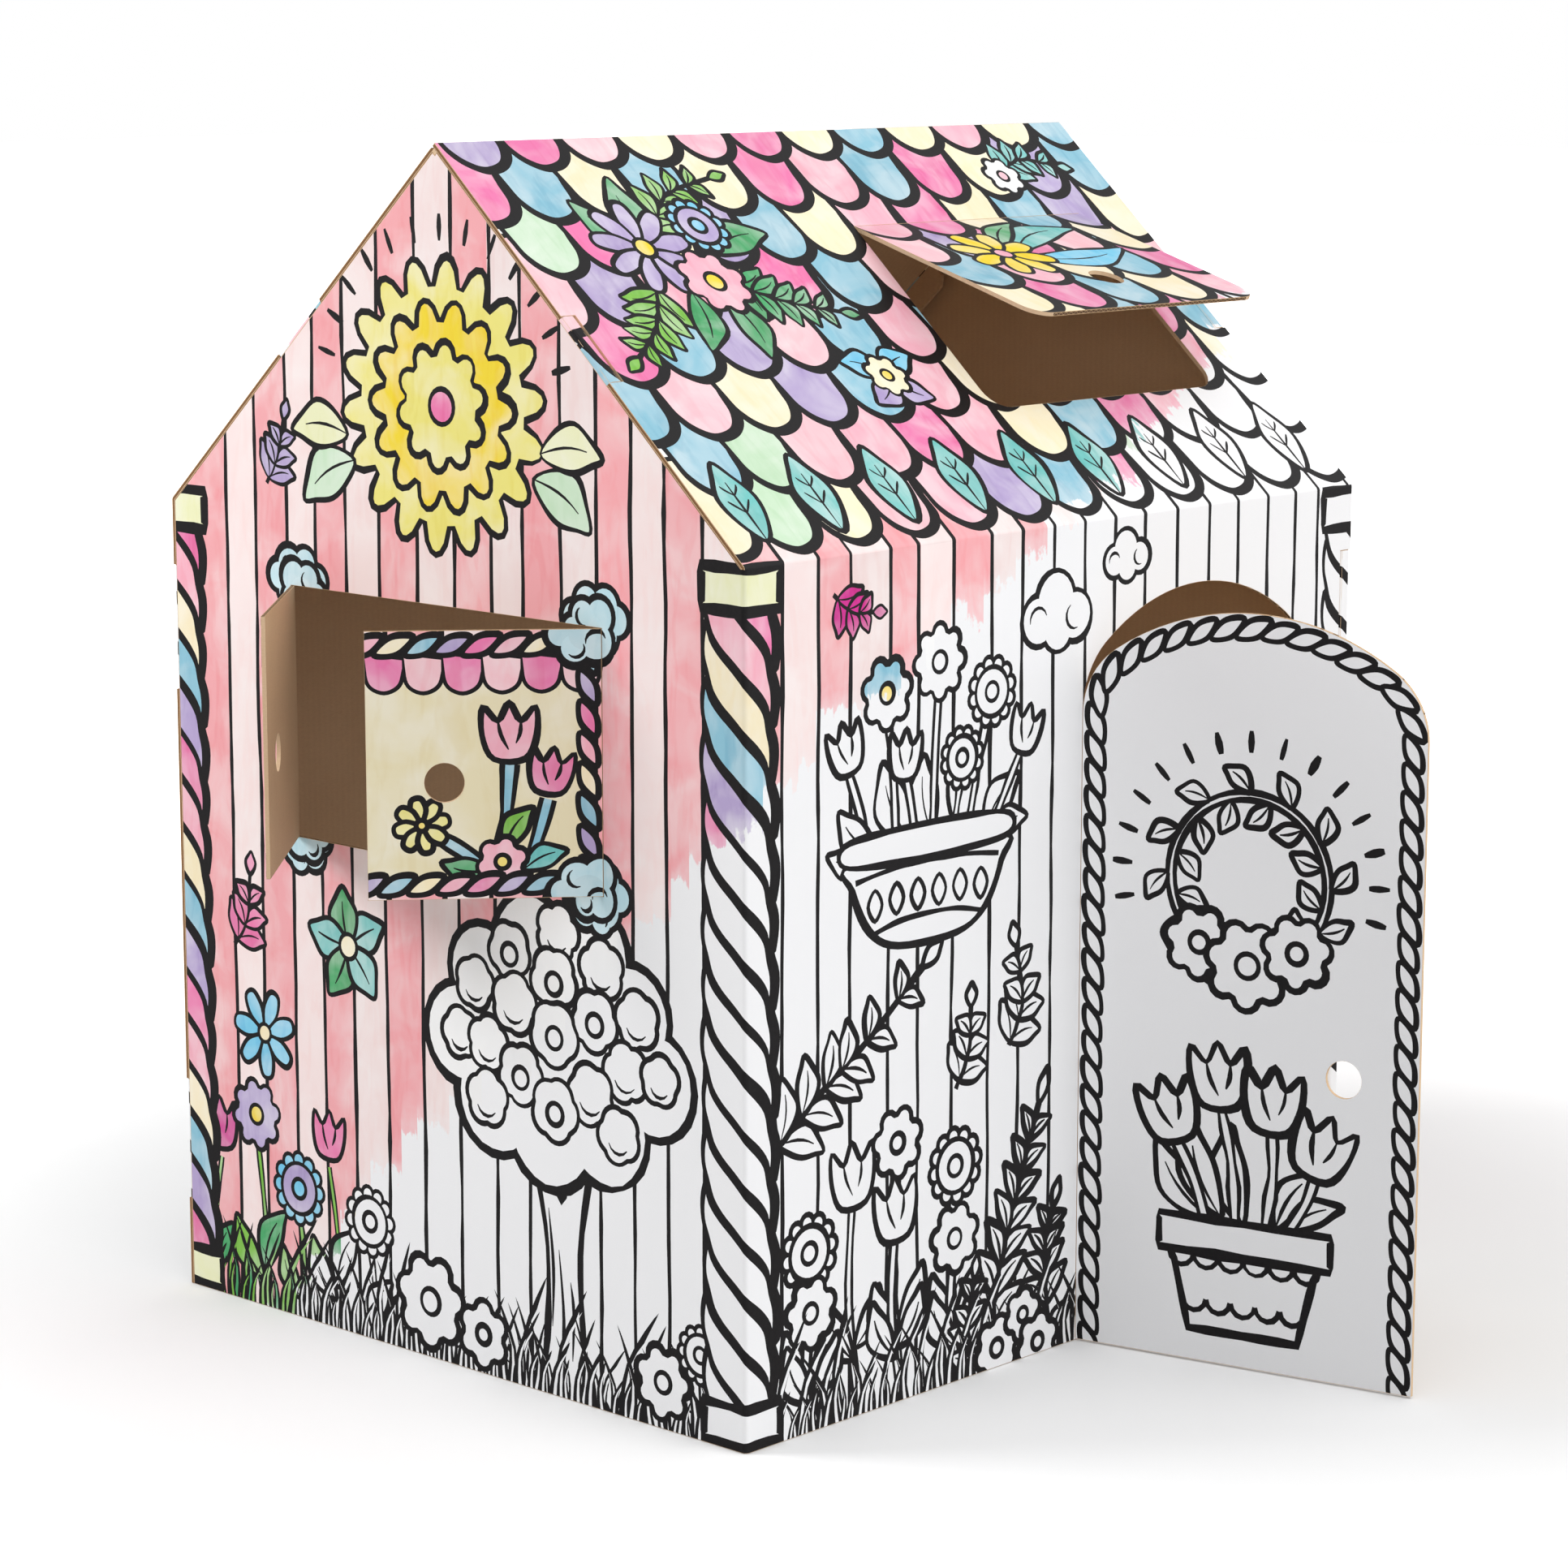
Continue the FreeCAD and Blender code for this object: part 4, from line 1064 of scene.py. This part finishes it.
wall_outline = [(0, SHY), (DEPTH - SHY, SHY), *notched(DEPTH, -1, WALL_HOOKS, True), (DEPTH - SHY, WALL_TOP),
                (0, WALL_TOP)]
window_hole = box(WINDOW[0] - SHY, WINDOW[1] - SHY, WINDOW[2] + SHY, WINDOW[3] + SHY)
front_gable = gable_outline((-406.8 - SHY, 1209.3 - 2 * SHY), (-409.2, 1206.6 - 2 * SHY), (-412.7, 1209.2 - 2 * SHY))
film("front_gable_print", [(front_gable, [window_hole], CORNER_CREASES, folded)], "house")
film("door_wall_print", [(wall_outline, [door_arch(-SHY, -20.0)], CORNER_CREASES, folded)], "house")
slope = slope_outline(EAVE + SLOPE_LENGTH - SHY)
film("hatch_slope_print", [(slope, [hatch_outline(-SHY)], EAVE_CREASES, folded)], "house")
film("front_sheet_hook_print", hook_patches(), "house")


# ----------------------------------------------------------------------
# The flaps' print. Door, shutters and hatch were cut from the same printed sheet, so each carries its
# own part of the artwork, out to the crease that it turns about.
CUT, FINGER_HOLE = 0.6, 19  # the knife's line round a flap, and a finger hole's radius
INSET = CUT + SHY
DOOR_TURN, SHUTTER_TURN, HATCH_TURN = -78, 48, -25  # how far each stands open, degrees


def finger_hole(u, v):
    return [oval((u, v), FINGER_HOLE + SHY, 28)]


door_fold = turned_about(folded, (HALF_WIDTH, DOOR[0] - HALF_DEPTH, 0), "Z", DOOR_TURN)
hatch_fold = turned_about(folded, folded(HATCH[0], HATCH[3], 0), "Y", HATCH_TURN)
shutters = [(name, hinge, side, turned_about(folded, (HALF_WIDTH + hinge, -HALF_DEPTH, 0), "Z", -side * SHUTTER_TURN))
            for name, hinge, side in (("left_shutter", WINDOW[0], 1), ("right_shutter", WINDOW[2], -1))]
film("door_print", [(door_arch(INSET, 1.5 + SHY), finger_hole(DOOR[1] - 80, 312), [], door_fold)], "door")
for name, hinge, side, fold in shutters:
    ends = sorted((hinge + side * INSET, WINDOW_MIDDLE - side * (CUT / 2 + SHY)))
    outline = box(ends[0], WINDOW[1] + INSET, ends[1], WINDOW[3] - INSET)
    film(name + "_print", [(outline, finger_hole(WINDOW_MIDDLE - 74 * side, WINDOW[1] + 113), [], fold)], name)
film("roof_hatch_print", [(hatch_outline(INSET), finger_hole(HATCH[0] + 200, HATCH[1] + 80), [], hatch_fold)], "hatch")


# ----------------------------------------------------------------------
# The rear sheet's artwork and print. The same boarding, columns, scales and grass, with a garden of its
# own: a rosette and a climbing border on the gable, clouds, sprigs and tall flowers on the wall.
def garden(start, end, seed, inks, tallest):
    """Tall flowers on leafy stalks, planted in a row."""
    rule = random.Random(seed)
    u = start
    while u < end:
        head = (u + rule.uniform(-8, 8), rule.uniform(0.5, 1.0) * tallest)
        stalks([[(u, -4), (u + rule.uniform(-9, 9), head[1] * 0.5), head]], 8, "leaf", 6)
        for side in (-1, 1):
            foot = head[1] * rule.uniform(0.2, 0.4)
            leaf((u, foot), (u + side * rule.uniform(26, 36), foot + rule.uniform(40, 66)), 0.24,
                 rule.choice(["leaf", "fern", "mint"]), -0.12 * side, 6)
        kind, ink, size = rule.randrange(4), rule.choice(inks), rule.uniform(36, 46)
        if kind == 0:
            tulip(head, size * 1.3, ink, rule.uniform(-0.2, 0.2), 6)
        elif kind == 1:
            daisy(head, size, 8, ink, "gold", rule.random(), 6)
        elif kind == 2:
            beaded_flower(head, size, ink, rule.choice(inks), rule.random(), 5.5)
        else:
            ray_flower(head, size * 1.2, 9, ink, "gold", rule.random(), 0.2, 5)
        u += rule.uniform(52, 70)


art = []
planks(*GABLE, ["pale", "salmon"], 14)
art.append(("pale", box(-822, -5, -782, 900)))
planks(*WALL, ["salmon", "pale"], 19)
for size, petals, ink, turn in ((120, 14, "hot", 0.1), (84, 12, "pink", 0.0), (50, 9, "yellow", 0.2)):
    daisy((-410, 948), size, petals, ink, "gold", turn, 7)
dashes((-410, 948), 140, 168, 0, 337, 16)
for side in (-1, 1):
    sprig([(-410 + side * 60, 640), (-410 + side * 150, 700), (-410 + side * 250, 690)], 6, 66, "fern", 5, 0.26)
    puffs([(-30, 0, 26), (0, 12, 32), (32, 0, 26), (4, -12, 26)], "cloud", 6.5, True, (-410 + side * 250, 820))
    ray_flower((-410 + side * 170, 560), 46, 8, "sky", "cream", 0.3, 0.22, 5)
daisy((-410, 640), 58, 9, "lavender", "gold", 0.1, 7)
beaded_flower((-470, 600), 40, "cream", "pink", 0.1, 5)
beaded_flower((-350, 604), 40, "cream", "sky", 0.2, 5)
garden(-740, -70, 21, ["lavender", "hot", "sky", "cream", "magenta"], 380)
for k in range(5):
    u, v = 150 + 165 * k, 700 + 34 * (k % 2)
    puffs([(-30, 0, 24), (0, 12, 30), (32, 0, 24), (4, -10, 24)], "cloud", 6.5, True, (u, v))
    sprig([(u + 60, 540), (u + 84, 590), (u + 88, 640)], 3, 48, "hot" if k % 2 else "teal", 5, 0.30)
garden(80, 880, 23, ["lavender", "hot", "sky", "cream", "magenta", "yellow"], 470)
grass(-780, -45, 91, ("leaf", "fern"))
grass(45, 900, 95, ("leaf", "fern"))
columns()
scales(131)
leaves([((52 + 104 * k, 26), (52 + 104 * k, 126), "teal") for k in range(9)], 0.25, 0.0, 6, EAVE)
for u, v, turn in ((250, 300, 0.4), (660, 350, -0.5)):
    for k, ink in enumerate(("fern", "leaf", "fern", "teal", "leaf")):
        angle = turn + k * tau / 5
        leaf((u, EAVE + v), (u + 118 * cos(angle), EAVE + v + 118 * sin(angle)), 0.2, ink, 0.08, 5)
    ray_flower((u - 34, EAVE + v + 24), 56, 9, "lavender", "gold", turn, 0.19, 5)
    daisy((u + 36, EAVE + v - 8), 44, 8, "pink", "gold", turn, 6)
    beaded_flower((u + 6, EAVE + v - 60), 36, "cream", "sky", turn, 5)

rear = half_turned(folded)
rear_gable = gable_outline((-407.3, 1209.2 - 2 * SHY), (-410.8, 1206.6 - 2 * SHY), (-413.2 + SHY, 1209.3 - 2 * SHY))
*ridge_creases, film_end = [EAVE + RIDGE_FOLD + BEND * radians(12 * k) for k in range(6)]
rear_creases = EAVE_CREASES + [((-2, v), (DEPTH + 2, v)) for v in ridge_creases]
film("rear_gable_print", [(rear_gable, [], CORNER_CREASES, rear)], "house")
film("plain_wall_print", [(wall_outline, [], CORNER_CREASES, rear)], "house")
film("plain_slope_print", [(slope_outline(film_end), [], rear_creases, half_turned(over_ridge))], "house")
film("rear_sheet_hook_print", [(*patch[:3], half_turned(patch[3])) for patch in hook_patches()], "house")


# ----------------------------------------------------------------------
# Raw edges. Where the knife crosses the flutes, the cut shows both liners and the wavy core between them.
# One flute is drawn once and repeated along every such cut, a tenth of a millimetre proud of it.
def one_flute(steps=7):
    """Liners, core and a dark sheet of painted shade behind it for the hollow, for one wave; x along the cut, y in from
    the print.
    """
    crest = [(FLUTE * k / steps, 0.00205 + 0.0013 * cos(tau * k / steps)) for k in range(steps + 1)]
    core = [(x, y - 0.00022) for x, y in crest] + [(x, y + 0.00022) for x, y in reversed(crest)]
    faces, painted_hollow_shade = [], []
    for points, low, high, is_painted_shade in ((box(0, 0.00003, FLUTE, 0.0005), -0.00004, 0.00012, 0.0),
                                         (box(0, 0.0035, FLUTE, 0.00397), -0.00004, 0.00012, 0.0),
                                         (box(0, 0.0005, FLUTE, 0.0035), -0.00005, 0.00002, 1.0),
                                         (core, -0.00004, 0.00010, 0.0)):
        faces += [[(*p, high) for p in points], [(*p, low) for p in reversed(points)]]
        faces += [[(*b, high), (*a, high), (*a, low), (*b, low)] for a, b in zip(points, points[1:] + points[:1])]
        painted_hollow_shade += [is_painted_shade] * (len(points) + 2)
    mesh = loose_mesh("one_flute", faces)
    mesh.attributes.new("painted_hollow_shade", "FLOAT", "FACE").data.foreach_set("value", painted_hollow_shade)
    return mesh


def cut_tree():
    """Geometry nodes: one flute after another along a cut, lying across the board's thickness."""
    given, result = new_group("flutes_along_a_cut", "GeometryNodeTree", {
        "Path": "Geometry", "Stamp": "Object", "Spacing": "Float", "Finish": "Material"}, {"Edge": "Geometry"})
    across = out("GeometryNodeInputNamedAttribute", {"Name": "across"}, data_type="FLOAT_VECTOR")
    here, index = out("GeometryNodeInputPosition"), out("GeometryNodeInputIndex")
    after = out("FunctionNodeIntegerMath", {0: index, 1: 1}, operation="ADD")
    there = add("GeometryNodeFieldAtIndex", {"Index": after}, data_type="FLOAT_VECTOR", domain="POINT")
    feed(there, {"Value": here})
    ahead = out("VectorMath", {0: there.outputs[0], 1: here}, operation="SUBTRACT")
    laid = out("FunctionNodeAxesToRotation", {0: ahead, 1: across}, primary_axis="X", secondary_axis="Y")
    share = add("GeometryNodeSplineParameter").outputs["Factor"]
    last = out("FunctionNodeCompare", {0: share, 1: 0.9999}, data_type="FLOAT", operation="LESS_THAN")
    return along_path(given, result, laid, Selection=last)


def raw_edge_finish():
    material, shader = new_material("raw_board_edge")
    torn = cloudy(add("TexCoord").outputs["Object"], 700.0, 3.0)
    # Behind the core, a dark brown sheet is painted shade standing for the flute's hollow
    painted_hollow_shade = add("Attribute", attribute_name="painted_hollow_shade").outputs["Fac"]
    paper = blended(torn, dye(186, 150, 108), dye(222, 190, 148))
    bump = out("Bump", {"Height": torn, "Distance": 0.0002, "Strength": 0.6})
    feed(shader, {"Base Color": blended(painted_hollow_shade, paper, dye(92, 66, 44)), "Normal": bump, "Roughness": 0.92})
    return material


flute_object = placed("one_flute", one_flute())
flutes_along, raw_finish = cut_tree(), raw_edge_finish()


def raw_edges(name, cuts, body):
    """Every cut across the flutes on one body: (flat path, whether up or down is out of the board, fold)."""
    corners, joins, across = [], [], []
    for path, upward, fold in cuts:
        path = [Vector(p) for p in path]
        here, ahead = fold(*path[0], 0), fold(*path[1], 0)
        inward, outward = fold(*path[0], -1) - here, fold(*(path[0] + Vector((0, upward))), 0) - here
        if (ahead - here).cross(inward).dot(outward) < 0:
            path.reverse()
        first = len(corners)
        for point in path:
            spot = fold(*point, 0)
            corners.append(spot / 1000)
            across.extend((fold(*point, -1) - spot).normalized())
        joins.extend((first + k, first + k + 1) for k in range(len(path) - 1))
    mesh = new_mesh("cuts", corners, joins)
    mesh.attributes.new("across", "FLOAT_VECTOR", "POINT").data.foreach_set("vector", across)
    plain = worked_out(mesh, flutes_along, {"Stamp": flute_object, "Spacing": FLUTE, "Finish": raw_finish})
    plain.name = name
    fixed(placed(name, plain), body)


def level(start, end, v, upward, fold=folded):
    return [(start, v), (end, v)], upward, fold


raw_edges("sheet_raw_edges", [
    level(WINDOW[0], WINDOW[2], WINDOW[1], 1), level(WINDOW[0], WINDOW[2], WINDOW[3], -1),
    level(HATCH[0] + 24, HATCH[2] - 24, HATCH[1], 1), level(HATCH[0], HATCH[2], HATCH[3], -1),
    level(0, DEPTH, EAVE + SLOPE_LENGTH, 1), level(-812, -6, 0, -1), level(6, DOOR[0], 0, -1),
    level(DOOR[1], DEPTH, 0, -1), level(-812, -6, 0, -1, rear), level(6, DEPTH, 0, -1, rear),
    (door_arch(0)[4:-4], -1, folded)], "house")
raw_edges("door_raw_edges", [(door_arch(CUT)[4:-4], 1, door_fold),
                             level(DOOR[0] + 2, DOOR[1] - 1, 1.5, -1, door_fold)], "door")
for name, hinge, side, fold in shutters:
    ends = sorted((hinge + side, WINDOW_MIDDLE))
    raw_edges(name + "_raw_edges", [level(*ends, WINDOW[1] + CUT, -1, fold),
                                    level(*ends, WINDOW[3] - CUT, 1, fold)], name)
raw_edges("roof_hatch_raw_edges", [level(HATCH[0] + 24, HATCH[2] - 24, HATCH[1] + CUT, -1, hatch_fold),
                                   level(HATCH[0] + 1, HATCH[2] - 1, HATCH[3] - CUT, 1, hatch_fold)], "hatch")
bpy.data.objects.remove(flute_object)


# ----------------------------------------------------------------------
# Creases of the flaps. A flap and its sheet are one board: the crushed board stretches round each crease
# behind the print, as a wedge as wide as the flap stands open.
def crease_wedge(name, body, start, end, axis, angle, rays=8):
    """A wedge along a crease between two flat places, as thick as the board and as wide as the flap is open."""
    a, b = folded(*start, 0), folded(*end, 0)
    inward = (folded(*start, -1) - a).normalized()
    fan = [Matrix.Rotation(radians(angle * k / rays), 3, axis) @ inward for k in range(rays + 1)]
    corners = [place + ray * reach for place in (a, b) for ray in fan for reach in (0.25, 3.7)]
    half, faces = len(corners) // 2, []
    for i in range(0, 2 * rays, 2):
        faces += [[i + 1, i + 3, i + 3 + half, i + 1 + half], [i + 2, i, i + half, i + 2 + half],
                  [i, i + 2, i + 3, i + 1], [i + 1 + half, i + 3 + half, i + 2 + half, i + half]]
    faces += [[0, 1, 1 + half, half], [half - 1, half - 2, 2 * half - 2, 2 * half - 1]]
    mesh = new_mesh(name, [corner / 1000 for corner in corners], faces=faces)
    centre = sum((v.co for v in mesh.vertices), Vector()) / len(mesh.vertices)
    if sum(face.normal.dot(face.center - centre) * face.area for face in mesh.polygons) < 0:
        mesh.flip_normals()
    mesh.materials.append(kraft)
    piece, middle = placed(name, mesh), (a + b) / 2
    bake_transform(piece)


crease_wedge("door_crease", "door", (DOOR[0], 2), (DOOR[0], DOOR[2] - 4), "Z", DOOR_TURN)
for name, hinge, side, fold in shutters:
    crease_wedge(name + "_crease", name, (hinge, WINDOW[1] + 1), (hinge, WINDOW[3] - 1), "Z", -side * SHUTTER_TURN)
crease_wedge("hatch_crease", "hatch", (HATCH[0] + 1, HATCH[3]), (HATCH[2] - 1, HATCH[3]), "Y", HATCH_TURN)


# ----------------------------------------------------------------------
# The studio: a pale floor, soft light from the gable's side, and the camera off the near corner. The
# floor and the surroundings show the camera a plain pale ground, and light the house less evenly.
floor = placed("studio_floor", loose_mesh("studio_floor", [[(*p, -0.0006) for p in box(-30, -30, 30, 30)]]))
floor_finish, shader = new_material("studio_floor")
place = add("TexCoord").outputs["Object"]
seen_directly = add("LightPath").outputs["Is Camera Ray"]
sheet = blended(cloudy(place, 3.0, 2.0), dye(252, 252, 252), dye(250, 250, 250))
far = add("VectorMath", {0: place}, operation="LENGTH").outputs["Value"]
feed(shader, {
    "Base Color": blended(seen_directly, dye(186, 186, 186), sheet), "Roughness": 0.9,
    "Emission Color": (1.0, 1.0, 1.0, 1.0),
    "Emission Strength": sums("MULTIPLY", ranged(far, 0.8, 2.4, kind="SMOOTHSTEP"), seen_directly)})
floor.data.materials.append(floor_finish)
floor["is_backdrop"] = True

world = bpy.data.worlds.new("studio")
bpy.context.scene.world = world
world.use_nodes = True
tree = world.node_tree
glow = 0.80  # the surroundings' brightness, more from the right and a little less from above
towards = add("SeparateXYZ", {0: add("TexCoord").outputs["Generated"]}).outputs
for axis, gain in ((1, 0.20), (0, 0.78), (2, -0.05)):
    glow = sums("MULTIPLY_ADD", towards[axis], gain, glow)
seen_directly = add("LightPath").outputs["Is Camera Ray"]
strength = out("Mix", {0: seen_directly, 2: glow, 3: 1.0})
feed(tree.nodes["Background"], {0: (1.0, 1.0, 1.0, 1.0), 1: strength})


def aimed(lamp, at, way_it_looks):
    lamp.location = at
    lamp.rotation_euler = way_it_looks.to_track_quat("-Z", "Y").to_euler()


for name, at, towards, size, watts in (("key_light", (-2.6, -2.8, 2.6), (-0.1, -0.47, 0.9), 1.6, 95),
                                       ("top_light", (1.6, -0.4, 4.6), (0.2, 0, 0.9), 3.0, 16),
                                       ("door_light", (3.4, 0.9, 1.5), (-0.41, 0.1, 0.5), 1.2, 9)):
    lamp = placed(name, bpy.data.lights.new(name, "AREA"))
    lamp.data.size, lamp.data.energy, lamp.visible_camera = size, watts, False
    aimed(lamp, at, Vector(towards) - Vector(at))

camera = placed("camera", bpy.data.cameras.new("camera"))
aimed(camera, (3.1315, -3.3300, 1.3603), Vector((-0.6718, 0.7190, -0.1784)))
camera.data.lens, camera.data.sensor_width = 100.14, 36
bpy.context.scene.camera = camera
bpy.context.scene.view_settings.view_transform = "Standard"

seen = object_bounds()
[[list(corner) for corner in bounds] for bounds in (cad_box, seen)]
